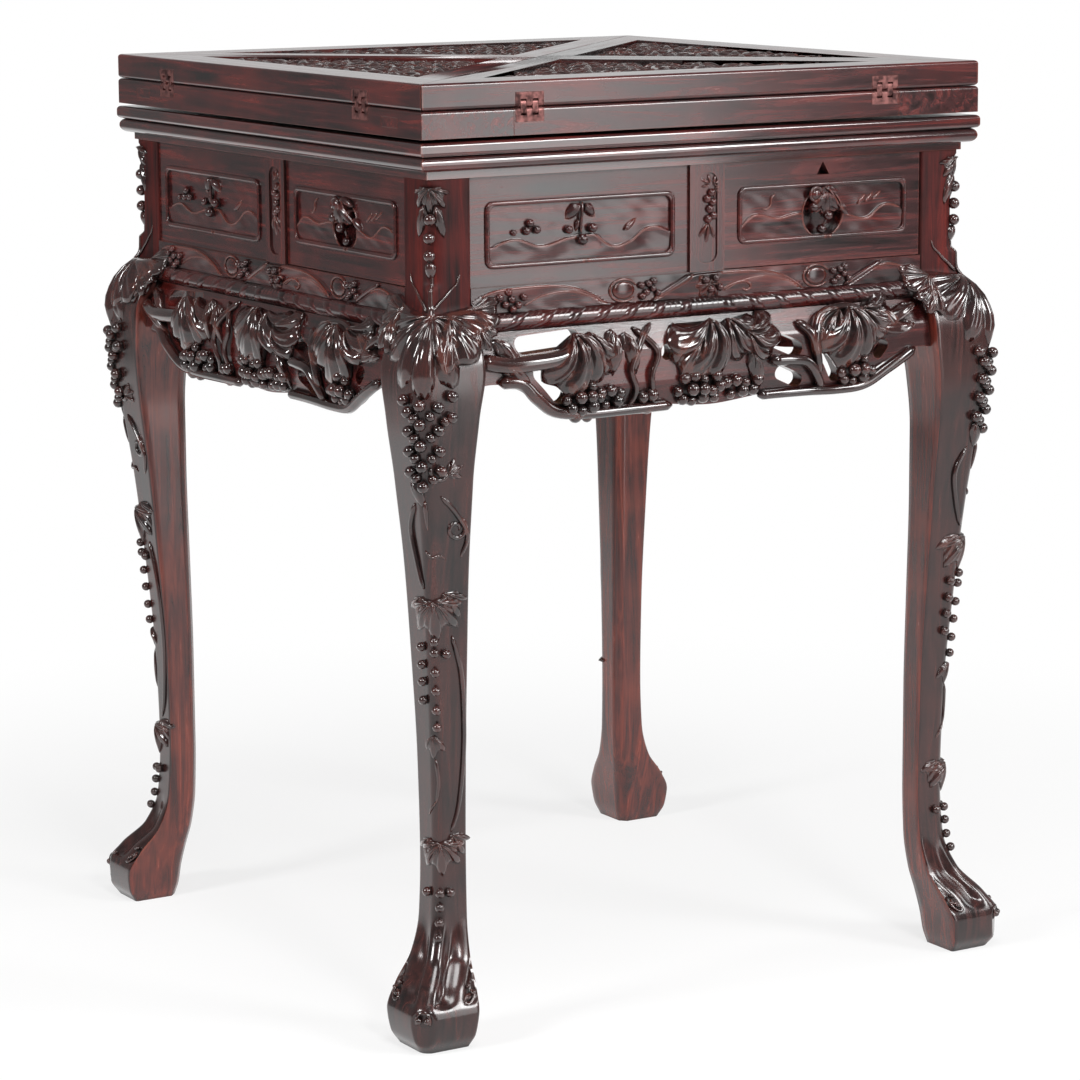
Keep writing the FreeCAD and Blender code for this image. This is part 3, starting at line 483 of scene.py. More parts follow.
def linear(code: str) -> Quad:
    """An sRGB hex colour as linear red, green, blue and alpha.

    Args:
        code: six hex digits after a hash.

    Returns:
        The linear colour.
    """
    parts = [int(code[i:i + 2], 16) / 255 for i in (1, 3, 5)]
    return tuple(c / 12.92 if c <= 0.04045 else ((c + 0.055) / 1.055) ** 2.4 for c in parts) + (1.0,)


def add_node(tree: NodeTree, kind: str, inputs: dict[Any, Any] | None = None, **settings: Any) -> Node:
    """Adds a shader node with its settings and inputs.

    Args:
        tree: the node tree.
        kind: the node's type name after "ShaderNode".
        inputs: its inputs by name or number. A socket or a node's first output is linked, a value is set.
        settings: its properties. "stops" gives a colour ramp's places and colours.

    Returns:
        The new node.
    """
    node = tree.nodes.new(f"ShaderNode{kind}")
    for name, value in settings.items():
        if name == "stops":
            ramp = node.color_ramp
            while len(ramp.elements) < len(value):
                ramp.elements.new(0.5)
            for element, (place, colour) in zip(ramp.elements, value):
                element.position, element.color = place, colour
        else:
            setattr(node, name, value)
    for key, value in (inputs or {}).items():
        if isinstance(value, Node):
            value = value.outputs[0]
        if isinstance(value, NodeSocket):
            tree.links.new(value, node.inputs[key])
        else:
            node.inputs[key].default_value = value
    return node


def mottle(tree: NodeTree, size: float, detail: float) -> Node:
    """Noise over a piece, with patches of a size in mm."""
    place = add_node(tree, "TexCoord").outputs["Object"]
    return add_node(tree, "TexNoise", {"Vector": place, "Scale": 1 / (size * MM), "Detail": detail})


class Grain(Enum):
    """The way the grain runs in a piece, as turns in degrees of a pattern that runs up."""

    ACROSS = (0.0, 90.0, 0.0)
    DEEP = (-90.0, 0.0, 0.0)
    UPRIGHT = (0.0, 0.0, 0.0)
    RISING = (0.0, 90.0, 45.0)
    FALLING = (0.0, 90.0, -45.0)

    def along(self, tree: NodeTree, width: float, length: float) -> Node:
        """Places in a piece, for a pattern that is drawn out along the grain.

        Args:
            tree: the node tree.
            width: of the pattern in mm.
            length: of the pattern along the grain in mm.

        Returns:
            The node that gives the places.
        """
        place = add_node(tree, "TexCoord").outputs["Object"]
        return add_node(tree, "Mapping", {
            "Vector": place, "Rotation": tuple(math.radians(angle) for angle in self.value),
            "Scale": (width * MM, width * MM, length * MM)}, vector_type="TEXTURE")


class Stain(Enum):
    """How dark the wood was stained, the inner set lightened with painted light: sRGB of the streaks, the
    heart, the warm bands and the rubbed edges.
    """

    CARVED = ("#120808", "#2b1413", "#4b1f19", "#5e2f25")
    CASE = ("#140808", "#361213", "#641f19", "#723528")
    POST = ("#180707", "#3e1110", "#641d17", "#743a2c")
    # Lighter and redder than the case stain: painted light on the legs' inner faces.
    INNER = ("#241010", "#55201a", "#8a3a28", "#8a422b")


class Polish(Enum):
    """How far the wood is polished: roughness of streaks and of warm bands, index of refraction, coat."""

    WORN = (0.5, 0.6, 1.3, 0.0)
    WAXED = (0.16, 0.3, 1.5, 0.5)
    BRIGHT = (0.1, 0.2, 1.5, 1.0)


@dataclass(frozen=True)
class Finish:
    """What a surface is made of and how it was worked."""

    def title(self) -> str:
        """The material's name."""
        raise NotImplementedError

    def shader(self, tree: NodeTree) -> Node:
        """Builds the surface in a node tree and gives its shader."""
        raise NotImplementedError

    def material(self) -> Material:
        """Makes the material when it is first asked for.

        Returns:
            The material.
        """
        if self.title() not in bpy.data.materials:
            material = bpy.data.materials.new(self.title())
            material.use_nodes = True
            material.node_tree.nodes.clear()
            add_node(material.node_tree, "OutputMaterial", {0: self.shader(material.node_tree)})
        return bpy.data.materials[self.title()]


@dataclass(frozen=True)
class PolishedRosewood(Finish):
    """Rosewood, carved, stained and polished with wax over lacquer.

    The eye gets a near-black red brown with darker streaks along the grain, hollows darkened by
    painted shade and dust, redder rubbed edges and a soft clear gloss.
    """

    grain: Grain
    stain: Stain = Stain.CASE
    polish: Polish = Polish.WAXED
    shade_and_dust_colour: str = "#0b0707"
    streak_width: float = 9.0
    streak_length: float = 150.0
    patch_size: float = 60.0
    pore_width: float = 0.9
    pore_length: float = 12.6
    pore_depth: float = 0.15
    hollow_reach: float = 8.0
    rubbed_reach: float = 1.6

    def title(self) -> str:
        """The material's name, with its stain, grain and polish."""
        kinds = (self.stain.name, self.grain.name, self.polish.name)
        return "_".join(("polished_rosewood",) + kinds).lower()

    def shader(self, tree: NodeTree) -> Node:
        """Builds streaks, rubbed edges, hollows darkened by painted shade and dust, and pores under the
        polish.

        Args:
            tree: the material's node tree.

        Returns:
            The shader.
        """
        streak, heart, warm, edge = (linear(code) for code in self.stain.value)
        smooth, rough, index, coat = self.polish.value
        streaks = add_node(tree, "TexNoise", {
            "Vector": self.grain.along(tree, self.streak_width, self.streak_length), "Scale": 1.0,
            "Detail": 7.0, "Roughness": 0.66, "Distortion": 0.9})
        wood = add_node(tree, "ValToRGB", {"Fac": streaks},
                        stops=((0.36, streak), (0.52, heart), (0.7, warm)))
        warmth = add_node(tree, "MapRange", {
            "Value": mottle(tree, self.patch_size, 3.0), "From Min": 0.4, "From Max": 0.8, "To Max": 0.5},
            interpolation_type="SMOOTHSTEP")
        toned = add_node(tree, "Mix", {0: warmth, 6: wood, 7: warm}, data_type="RGBA").outputs[2]
        ridge = add_node(tree, "AmbientOcclusion", {"Distance": self.rubbed_reach * MM},
                         samples=4, inside=True, only_local=True).outputs["AO"]
        wear = add_node(tree, "MapRange", {
            "Value": ridge, "From Min": 0.85, "From Max": 0.35, "To Max": 0.55})
        rubbed = add_node(tree, "Mix", {0: wear, 6: toned, 7: edge}, data_type="RGBA").outputs[2]
        # Painted shade: occlusion darkens hollows, creases and the ground round the carving towards the
        # near-black colour, standing partly for dust; the same mask also makes them matt.
        open_air = add_node(tree, "AmbientOcclusion", {"Distance": self.hollow_reach * MM},
                            samples=6).outputs["AO"]
        shade_and_dust = add_node(tree, "MapRange", {
            "Value": open_air, "From Min": 0.2, "From Max": 0.74, "To Min": 0.85, "To Max": 0.0})
        colour = add_node(tree, "Mix", {
            0: shade_and_dust, 6: rubbed, 7: linear(self.shade_and_dust_colour)}, data_type="RGBA").outputs[2]
        gloss = add_node(tree, "MapRange", {
            "Value": streaks, "From Min": 0.35, "From Max": 0.7, "To Min": smooth, "To Max": rough})
        matt = add_node(tree, "Mix", {0: shade_and_dust, 2: gloss, 3: 0.75})
        pores = add_node(tree, "TexNoise", {
            "Vector": self.grain.along(tree, self.pore_width, self.pore_length), "Scale": 1.0, "Detail": 2.0})
        bump = add_node(tree, "Bump", {"Strength": 0.25, "Distance": self.pore_depth * MM, "Height": pores})
        return add_node(tree, "BsdfPrincipled", {
            "Base Color": colour, "Roughness": matt, "Normal": bump, "IOR": index,
            "Coat Weight": coat, "Coat Roughness": smooth, "Coat IOR": 1.5})


@dataclass(frozen=True)
class PlainCamphorWood(Finish):
    """Camphor wood, planed and left unpolished inside the case.

    The eye gets a dull brown with soft bands along the board and no gloss.
    """

    grain: Grain
    pale: str = "#7a5233"
    dark: str = "#4a2c1b"
    band_width: float = 9.0
    band_length: float = 260.0
    band_depth: float = 0.2

    def title(self) -> str:
        """The material's name, with its grain."""
        return f"plain_camphor_wood_{self.grain.name.lower()}"

    def shader(self, tree: NodeTree) -> Node:
        """Builds the bands along the grain.

        Args:
            tree: the material's node tree.

        Returns:
            The shader.
        """
        bands = add_node(tree, "TexNoise", {
            "Vector": self.grain.along(tree, self.band_width, self.band_length), "Scale": 1.0,
            "Detail": 6.0, "Roughness": 0.65, "Distortion": 0.8})
        wood = add_node(tree, "ValToRGB", {"Fac": bands},
                        stops=((0.32, linear(self.dark)), (0.68, linear(self.pale))))
        bump = add_node(tree, "Bump", {"Strength": 0.3, "Distance": self.band_depth * MM, "Height": bands})
        return add_node(tree, "BsdfPrincipled", {
            "Base Color": wood, "Roughness": 0.7, "Normal": bump, "IOR": 1.45})


@dataclass(frozen=True)
class OldBrass(Finish):
    """Brass, sawn and filed, gone coppery brown with age.

    The eye gets a dull pinkish metal, darker in blotches.
    """

    bright: str = "#8f5f5b"
    tarnish: str = "#3d2322"
    blotch_size: float = 5.0

    def title(self) -> str:
        """The material's name."""
        return "old_brass"

    def shader(self, tree: NodeTree) -> Node:
        """Builds the blotches.

        Args:
            tree: the material's node tree.

        Returns:
            The shader.
        """
        blotches = mottle(tree, self.blotch_size, 5.0)
        colour = add_node(tree, "ValToRGB", {"Fac": blotches},
                          stops=((0.35, linear(self.tarnish)), (0.62, linear(self.bright))))
        dull = add_node(tree, "MapRange", {
            "Value": blotches, "From Min": 0.3, "From Max": 0.7, "To Min": 0.55, "To Max": 0.36})
        return add_node(tree, "BsdfPrincipled", {"Base Color": colour, "Roughness": dull, "Metallic": 0.7})


@dataclass(frozen=True)
class TurnedSteel(Finish):
    """Mild steel, turned on a lathe and lightly oiled.

    The eye gets a grey metal with brown specks.
    """

    clean: str = "#6f6b68"
    specks: str = "#3c2c24"
    speck_size: float = 4.0

    def title(self) -> str:
        """The material's name."""
        return "turned_steel"

    def shader(self, tree: NodeTree) -> Node:
        """Builds the specks.

        Args:
            tree: the material's node tree.

        Returns:
            The shader.
        """
        colour = add_node(tree, "ValToRGB", {"Fac": mottle(tree, self.speck_size, 6.0)},
                          stops=((0.36, linear(self.specks)), (0.5, linear(self.clean))))
        return add_node(tree, "BsdfPrincipled", {"Base Color": colour, "Roughness": 0.38, "Metallic": 0.9})


@dataclass(frozen=True)
class MattWhitePaper(Finish):
    """Matt white paper, spread under the table.

    The eye gets plain white with the table's soft shadow. The polish mirrors it as white only near the table.
    Reaches are in metres.
    """

    tone: str = "#f4f4f4"
    white: str = "#ffffff"
    shadow_share: float = 0.26
    shadow_core: float = 0.4
    shadow_reach: float = 1.3
    paper_core: float = 1.76
    paper_reach: float = 3.2
    far_level: float = 0.25

    def title(self) -> str:
        """The material's name."""
        return "matt_white_paper"

    def shader(self, tree: NodeTree) -> Node:
        """Mixes the paper that takes the shadow with its plain white.

        Args:
            tree: the material's node tree.

        Returns:
            The shader.
        """
        rays = add_node(tree, "LightPath").outputs
        seen = add_node(tree, "Math", {
            0: rays["Is Camera Ray"], 1: rays["Is Glossy Ray"]}, operation="MAXIMUM")
        seen = add_node(tree, "Math", {0: seen, 1: rays["Is Transmission Ray"]}, operation="MAXIMUM")
        place = add_node(tree, "TexCoord").outputs["Object"]
        away = add_node(tree, "VectorMath", {0: place}, operation="LENGTH").outputs["Value"]
        bright = add_node(tree, "MapRange", {
            "Value": away, "From Min": self.shadow_core, "From Max": self.shadow_reach,
            "To Min": 1 - self.shadow_share, "To Max": 1.0}, interpolation_type="SMOOTHSTEP")
        share = add_node(tree, "Math", {0: seen, 1: bright}, operation="MULTIPLY")
        edge = add_node(tree, "MapRange", {
            "Value": away, "From Min": self.paper_core, "From Max": self.paper_reach, "To Min": 1.0,
            "To Max": self.far_level}, interpolation_type="SMOOTHSTEP")
        level = add_node(tree, "Math", {0: rays["Is Camera Ray"], 1: edge}, operation="MAXIMUM")
        paper = add_node(tree, "BsdfDiffuse", {"Color": linear(self.tone)})
        white = add_node(tree, "Emission", {"Color": linear(self.white), "Strength": level})
        return add_node(tree, "MixShader", {0: share, 1: paper, 2: white})


# Pieces


def quarter_turn(steps: int) -> Matrix:
    """A turn about the table's middle by a number of quarter turns, from the front to the right."""
    return Matrix.Rotation(steps * math.pi / 2, 4, "Z")


def even_normals(mesh: Mesh) -> None:
    """Shades flat faces flat, with only the narrow eased strips turning the corner.

    Args:
        mesh: the mesh, whose corner normals are set by the area of the faces around each corner.
    """
    same_side = 0.6
    around: dict[int, list[MeshPolygon]] = {}
    for face in mesh.polygons:
        for point in face.vertices:
            around.setdefault(point, []).append(face)
    normals = []
    for face in mesh.polygons:
        for point in face.vertices:
            near = [other for other in around[point] if other.normal.dot(face.normal) > same_side]
            total = sum((other.normal * other.area for other in near), Vector())
            normals.append(total.normalized() if total.length > 0 else face.normal)
    mesh.normals_split_custom_set([tuple(normal) for normal in normals])


@dataclass
class Carver:
    """Makes carved pieces and sets them on the table."""

    slot: str = "rosewood"
    weld: float = 0.01
    flat_angle: float = 1.0
    sharp_angle: float = 35.0

    def mesh(self, name: str, shapes: Iterable[Shape], surface: Surface, finish: Material) -> Mesh:
        """A mesh of shapes laid on a surface.

        Args:
            name: the mesh's name.
            shapes: the carved shapes.
            surface: what they lie on.
            finish: their material.

        Returns:
            The mesh, in metres.
        """
        points, faces, start = [], [], 0
        for shape in shapes:
            points.append(laid(shape, surface) * MM)
            faces += [tuple(i + start for i in face) for face in shape.faces]
            start += len(shape.points)
        mesh = bpy.data.meshes.new(name)
        mesh.from_pydata(np.vstack(points).tolist(), [], faces)
        mesh.polygons.foreach_set("use_smooth", [True] * len(mesh.polygons))
        work = bmesh.new()
        work.from_mesh(mesh)
        bmesh.ops.recalc_face_normals(work, faces=work.faces)
        work.to_mesh(mesh)
        work.free()
        mesh.materials.append(finish)
        return mesh

    def set_piece(self, name: str, mesh: Mesh, body: str, turn: int = 0) -> Object:
        """Sets a piece on its body.

        Args:
            name: the piece's name.
            mesh: its mesh.
            body: the body that it moves with.
            turn: quarter turns about the table's middle.

        Returns:
            The piece.
        """
        piece = bpy.data.objects.new(name, mesh)
        piece.matrix_world = quarter_turn(turn)
        bpy.context.scene.collection.objects.link(piece)
        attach(piece, body)
        LOG.info("%s: %d faces on %s", name, len(mesh.polygons), body)
        return piece

    def eased(self, node: str, body: str, finishes: Sequence[Material], width: float) -> Object:
        """A copy of a CAD node with its sharp edges eased, which stands for the node.

        Args:
            node: the node's name.
            body: the body that it moves with.
            finishes: its materials.
            width: how far the edges are eased, in mm.

        Returns:
            The eased piece.
        """
        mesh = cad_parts[node].data.copy()
        work = bmesh.new()
        work.from_mesh(mesh)
        bmesh.ops.remove_doubles(work, verts=work.verts, dist=self.weld * MM)
        flat, sharp = math.radians(self.flat_angle), math.radians(self.sharp_angle)
        bmesh.ops.dissolve_limit(work, angle_limit=flat, verts=work.verts, edges=work.edges)
        edges = [e for e in work.edges if len(e.link_faces) == 2 and e.calc_face_angle(0) > sharp]
        before = np.array([tuple(point.co) for point in work.verts])
        bmesh.ops.bevel(work, geom=edges, offset=width * MM, segments=2, profile=0.5, affect="EDGES",
                        clamp_overlap=True)
        for point in work.verts:
            point.co = np.clip(tuple(point.co), before.min(axis=0), before.max(axis=0))
        work.to_mesh(mesh)
        work.free()
        mesh.materials.clear()
        for finish in finishes:
            mesh.materials.append(finish)
        mesh.polygons.foreach_set("use_smooth", [True] * len(mesh.polygons))
        even_normals(mesh)
        piece = self.set_piece(f"{node}_eased", mesh, body)
        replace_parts(piece, node)
        return piece


def dress(node: str, finish: Material) -> None:
    """Gives a CAD node its finish.

    Args:
        node: the node's name.
        finish: its material.
    """
    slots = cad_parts[node].data.materials
    slots.clear()
    slots.append(finish)
    LOG.info("%s: finished as %s", node, finish.name)


SIDE_GRAIN = {"front": Grain.ACROSS, "right": Grain.DEEP, "back": Grain.ACROSS, "left": Grain.DEEP}


@dataclass
class CabrioleLegs(Carver):
    """Four legs with their posts: swelling knees and feet, carved with leaves and grapes down the corner.

    The stations give a share of the knee's height, how far the corner stands out there from the case and the
    inner faces from the post's, and the corner's radius. The levels give the rows of points up to a height.
    """

    case_half: float = 261.0
    post_inner: float = 222.0
    knee_top: float = 600.6
    post_foot: float = 588.0
    post_top: float = 700.6
    stations: tuple[Quad, ...] = (
        (0.000, 27.0, 24.0, 9.0), (0.020, 34.0, 21.0, 11.0), (0.047, 36.0, 19.0, 12.0),
        (0.080, 26.0, 15.5, 12.0), (0.117, 8.5, 11.0, 10.0), (0.167, -1.0, 8.0, 9.0),
        (0.250, -3.5, 7.0, 8.0), (0.383, -2.0, 7.0, 8.0), (0.533, 3.5, 8.0, 8.0),
        (0.667, 10.0, 9.0, 8.0), (0.767, 17.0, 9.0, 9.0), (0.850, 22.5, 6.0, 11.0),
        (0.908, 24.0, 1.0, 12.0), (0.962, 14.0, 0.0, 9.0), (1.000, 0.0, 0.0, 4.0))
    levels: tuple[tuple[float, int], ...] = ((80.0, 40), (520.0, 90), (624.0, 46), (700.6, 24))
    chamfer: float = 6.0
    post_round: float = 16.0
    edge_round: float = 2.0
    shade_angle: float = 50.0
    gouge_depth: float = 5.5
    gouge_low: float = 36.0
    gouge_start: float = 8.0
    gouge_high: float = 106.0
    gouge_fade: float = 50.0
    gouge_place: float = 17.0
    gouge_splay: float = 0.10
    splay_level: float = 60.0
    gouge_width: float = 6.5
    outer_gouge_off: float = 24.0
    outer_gouge_width: float = 5.0
    outer_gouge_share: float = 0.7
    toe_out: float = 415.0
    toe_depth: float = 5.0
    toe_height: float = 34.0
    toe_ease: float = 6.0
    around: int = 61
    inside: int = 18

    def face(self) -> LegFace:
        """The outer faces of the front left leg.

        Returns:
            The surface, from the floor to the post's top.
        """
        low = [(share * self.knee_top, self.case_half + out, self.post_inner + back, radius)
               for share, out, back, radius in self.stations]
        post = [(height, self.case_half, self.post_inner, radius) for height, radius in (
            (self.knee_top + 12, 4.0), (self.knee_top + 18, self.post_round),
            (self.post_top - 10, self.post_round), (self.post_top - 4, 4.0), (self.post_top, 4.0))]
        return LegFace(tuple(low + post))

    def foot_relief(self, u: np.ndarray, height: float) -> np.ndarray:
        """How far the gouges between the foot's tongues stand in from its outer face.

        Args:
            u: places round the corner in mm.
            height: over the floor in mm.

        Returns:
            Insets in mm.
        """
        start, fade = np.clip([(height - self.gouge_low) / self.gouge_start,
                               (self.gouge_high - height) / self.gouge_fade], 0, 1)
        rise = start**2 * (3 - 2 * start) * fade**2 * (3 - 2 * fade)
        first = self.gouge_place + self.gouge_splay * (self.splay_level - height)
        inner = np.exp(-((np.abs(u) - first) / self.gouge_width) ** 2)
        outer = np.exp(-((np.abs(u) - first - self.outer_gouge_off) / self.outer_gouge_width) ** 2)
        return self.gouge_depth * rise * (inner + self.outer_gouge_share * outer)

    def toe_cut(self, points: np.ndarray, height: float) -> np.ndarray:
        """Cuts the flat facet across the toe's corner.

        Args:
            points: points of one level of the leg.
            height: of that level in mm.

        Returns:
            The points, none further out along the diagonal than the facet.
        """
        ease = (self.toe_height + self.toe_ease - height) / self.toe_ease
        depth = self.toe_depth * min(1.0, max(0.0, ease))
        out = -(points[:, 0] + points[:, 1]) / math.sqrt(2)
        back = (depth > 0) * np.maximum(out - (self.toe_out - depth), 0) / math.sqrt(2)
        return points + np.column_stack([back, back, 0 * back])

    def shaft(self) -> Shape:
        """The leg and post as one smooth shape.

        Returns:
            The shape, in mm of the table's frame.
        """
        face, edge = self.face(), self.edge_round
        heights = np.zeros(1)
        for top, count in self.levels:
            heights = np.concatenate([heights, np.linspace(heights[-1], top, count)[1:]])
        rows = []
        for height, (corner, inner, radius) in zip(heights, face.section(heights)):
            span = corner - inner - radius + radius * math.pi / 4 - edge
            u = np.linspace(-span, span, self.around)
            relief = -self.foot_relief(u, height)
            outer = face.to_space(np.column_stack([u, np.full(self.around, height), relief]))
            outer = self.toe_cut(outer, height)
            cut = min(self.chamfer, (corner - inner) / 3) if height < self.knee_top else 1.0
            inside = [(-inner - edge * 0.3, -corner + edge * 0.3), (-inner, -corner + edge)]
            run = np.linspace(-corner + edge, -inner - cut, self.inside // 2 - 1)[1:]
            inside += [(-inner, y) for y in run]
            inside += [(y, x) for x, y in reversed(inside)]
            rows.append(np.vstack([outer, [(x, y, height) for x, y in inside]]))
        columns = len(rows[0])
        faces = grid_faces(len(rows), columns, wrap=True)
        faces += [tuple(range(columns))[::-1], tuple(range((len(rows) - 1) * columns, len(rows) * columns))]
        return Shape(np.vstack(rows), faces)

    def knee(self) -> list[Shape]:
        """The big fluted leaf over the knee, with its stalk and the smaller leaves that lap on the rails.

        Returns:
            The shapes, to lie on the leg's face.
        """
        big = VineLeaf(length=66, spread=196, lobes=7, notch=0.2, point=1.3, shorten=0.18, crown=9.0,
                       groove=3.4, ribs=2, flute=1.4, sink=5)
        second = VineLeaf(length=50, spread=108, lobes=3, notch=0.16, point=1.4, crown=6.0, groove=2.8,
                          ribs=2, flute=1.4)
        upper = VineLeaf(length=34, spread=100, lobes=3, notch=0.2, point=1.4, crown=5.0, groove=2.0,
                         flute=1.4, sink=6)
        lower = VineLeaf(length=30, spread=80, lobes=3, notch=0.2, point=1.4, crown=5.0, groove=1.8,
                         flute=1.4, sink=6)
        stalk = [(1, 626, 0.2), (1, 616, 0.2), (1, 607, 0.2), (1, 601, 0.6), (2, 592, 3)]
        shapes = [big.placed(2, 594, 180), second.placed(14, 594, 224, 4.5), stem(stalk, 1.2, 2.2, 0.8)]
        for hand in (1, -1):
            shapes.append(upper.placed(34 * hand, 596, 108 * -hand, 2))
            shapes.append(lower.placed(42 * hand, 588, 140 * -hand, 2))
        return shapes

    def grapes(self) -> list[Shape]:
        """The bunch of grapes under the knee, with its leaves, scroll and tendrils.

        Returns:
            The shapes, to lie on the leg's face.
        """
        front = [(-10, 521), (-10, 505.7), (-10, 489.7), (-10, 473), (0, 527), (0, 511.5), (0, 494.8),
                 (0, 478), (0, 461.5), (13, 525), (13, 506.4), (13, 489.7), (13.5, 473.7), (26, 532.6),
                 (25, 516), (-16, 530)]
        behind = [(-5, 516), (-5, 500), (-5, 484), (6.5, 518), (6.5, 501), (6.5, 484), (6.5, 467), (19, 513),
                  (-5, 468)]
        slim = VineLeaf(length=25, spread=84, lobes=1, notch=0.6, crown=5.0, groove=1.6, flute=1.5, sink=3)
        small = VineLeaf(length=17, spread=110, lobes=3, crown=3.0, groove=1.0)
        curl = [(13.5 + 8 * math.cos(a), 473.7 + 8 * math.sin(a), 0.8) for a in np.linspace(2.8, 5.9, 9)]
        shapes = berries(front, 5.0, 0.3) + berries(behind, 4.2)
        shapes += [slim.placed(-9, 467, 197), stem(curl, 1.8, 1.8, 0.8), small.placed(20, 470, -70)]
        return shapes + stems(
            ([(0, 449, 0.4), (0.5, 438, 0.8), (1, 425, 0.2)], 2.0, 1.0),
            (scroll(26, 424, 10, 3, 1.3, 80, -1), 2.4, 1.8),
            ([(14, 452, 0), (26, 438, 0.8), (36, 418, 0.8), (29, 400, 0)], 2.4, 1.5),
            ([(-12, 446, 0), (-20, 425, 0.8), (-14, 400, 0.8), (-5, 376, 0.8)], 2.4, 2.0),
            ([(-2, 408, 0.3), (4, 402, 0.6), (9, 404, 0.6), (15, 400, 0.3)], 1.3, 1.1))

    def strings(self) -> list[Shape]:
        """The leaves down the shaft, with strings of berries and tendrils under them.

        Returns:
            The shapes, to lie on the leg's face.
        """
        shapes = []
        for low, length in ((366, 34), (164, 28)):
            broad = VineLeaf(length=length, spread=200, lobes=5, crown=4.4, groove=1.8, flute=1.5, sink=3)
            wing = VineLeaf(length=length * 0.78, spread=120, lobes=3, crown=3.4, groove=1.4, flute=1.5,
                            sink=4)
            shapes += [wing.placed(12, low + 6, 214), wing.placed(-8, low + 3, 160),
                       broad.placed(2, low, 184, 0.8)]
        spots = [(2, v) for v in (333, 324, 307.5, 292, 275.7, 261.5, 122.4, 110.8, 98, 85.5)]
        spots += [(-9, v) for v in (327.7, 312.9, 298.6, 283, 122.4)] + [(11, 322), (9.5, 122.4)]
        small = VineLeaf(length=20, spread=110, lobes=3, crown=3.0, groove=1.2)
        long = [(18, 336, 0), (25, 304, 0.8), (26, 262, 0.8), (24, 226, 0.8), (19, 192, 0.6), (12, 172, 0)]
        shapes += berries(spots, 4.0, 0.35) + [small.placed(-1, 254, 178)]
        return shapes + stems((long, 2.2, 1.6), ([(0, 234, 0), (2, 216, 0.8), (0, 198, 0.4)], 1.8, 1.2),
                              ([(0, 199, 0.4), (-5, 192, 0.4), (-9, 186, 0)], 1.3, 0.9))

    def toe(self) -> list[Shape]:
        """The arch with two berries over the toe's facet, and a scroll with berries on each face.

        Returns:
            The shapes, to lie on the leg's face.
        """
        arch = [(-8, 25, -3), (-7, 31, -2), (-3, 36, -1), (3, 36, -1), (7, 31, -2), (8, 25, -3)]
        shapes = [stem(arch, 1.5, 1.5, 0.8)] + berries([(11, 40)], 2.2, 0.8)
        shapes += berries([(-4.2, 30), (4.2, 30)], 2.9, 0.4, -3.7)
        for u, hand in ((40, -1), (-40, 1)):
            shapes.append(stem(scroll(u, 42, 5.5, 2.0, 1.2, 90, hand), 1.5, 1.2))
            shapes += berries([(u, 42), (u - 3.5 * hand, 45), (u + 2.5 * hand, 50)], 2.3, 0.8)
        return shapes

    def post_drop(self) -> list[Shape]:
        """The drop down a post's corner: a leaf, berries between side leaves, and a bud, over two veins.

        Returns:
            The shapes, to lie on the leg's face.
        """
        top = VineLeaf(length=22, spread=190, lobes=5, crown=4.8, groove=1.7, flute=1.5)
        side = VineLeaf(length=27, spread=64, lobes=1, notch=0.6, crown=3.6, groove=1.4, flute=1.5)
        bud = VineLeaf(length=15, spread=96, lobes=1, notch=0.4, crown=5.4, groove=1.2, ribs=1)
        vein = [(2, 597, 0.6), (8, 603, 0.4), (15, 609, 0.4), (21, 616, 0.4), (25, 625, 0)]
        shapes = [top.placed(0, 694, 180)]
        shapes += [side.placed(4 * hand, 680, 180 + 16 * hand) for hand in (1, -1)]
        shapes += berries([(0.5, 669), (0, 654.5), (0, 640.5)], 5.0, 0.35)
        shapes += [stem([(u * hand, v, h) for u, v, h in vein], 1.6, 0.9, 0.8) for hand in (1, -1)]
        return shapes + [bud.placed(0, 636, 180)]

    def shaft_mesh(self) -> Mesh:
        """The mesh of a leg: dark outside, lighter and redder on its inner faces as painted light, with a
        worn post.

        Returns:
            The mesh, in metres.
        """
        shaft = self.shaft()
        mesh = bpy.data.meshes.new("leg_shaft")
        mesh.from_pydata((shaft.points * MM).tolist(), [], shaft.faces)
        mesh.polygons.foreach_set("use_smooth", [True] * len(mesh.polygons))
        mesh.set_sharp_from_angle(angle=math.radians(self.shade_angle))
        for stain, polish in ((Stain.CARVED, Polish.WAXED), (Stain.INNER, Polish.WAXED),
                              (Stain.POST, Polish.WORN)):
            mesh.materials.append(PolishedRosewood(Grain.UPRIGHT, stain, polish).material())
        columns = self.around + self.inside
        stains = np.zeros(len(mesh.polygons), int)
        rows = stains[:len(mesh.polygons) - 2].reshape(-1, columns)
        # The inner faces take the lighter inner stain: painted light.
        rows[:, self.around:-1] = 1
        rows[shaft.points[::columns, 2][:-1] > self.post_foot] = 2
        mesh.polygons.foreach_set("material_index", stains)
        return mesh

    def build(self) -> None:
        """Builds the four legs from one and sets them at the corners."""
        bright = PolishedRosewood(Grain.UPRIGHT, Stain.CARVED, Polish.BRIGHT).material()
        shaft = self.shaft_mesh()
        shapes = self.knee() + self.grapes() + self.strings()
        carving = self.mesh("leg_carving", shapes, self.face(), bright)
        drop = self.mesh("post_drop", self.post_drop(), self.face(), bright)
        toe = self.mesh("toe_scrolls", self.toe(), self.face(), bright)
        for k, corner in enumerate(CORNERS):
            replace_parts(self.set_piece(f"leg_shaft_{corner}", shaft, "frame", k), f"leg_{corner}")
            self.set_piece(f"leg_carving_{corner}", carving, "frame", k)
            self.set_piece(f"post_drop_{corner}", drop, "frame", k)
            self.set_piece(f"toe_scrolls_{corner}", toe, "frame", k)


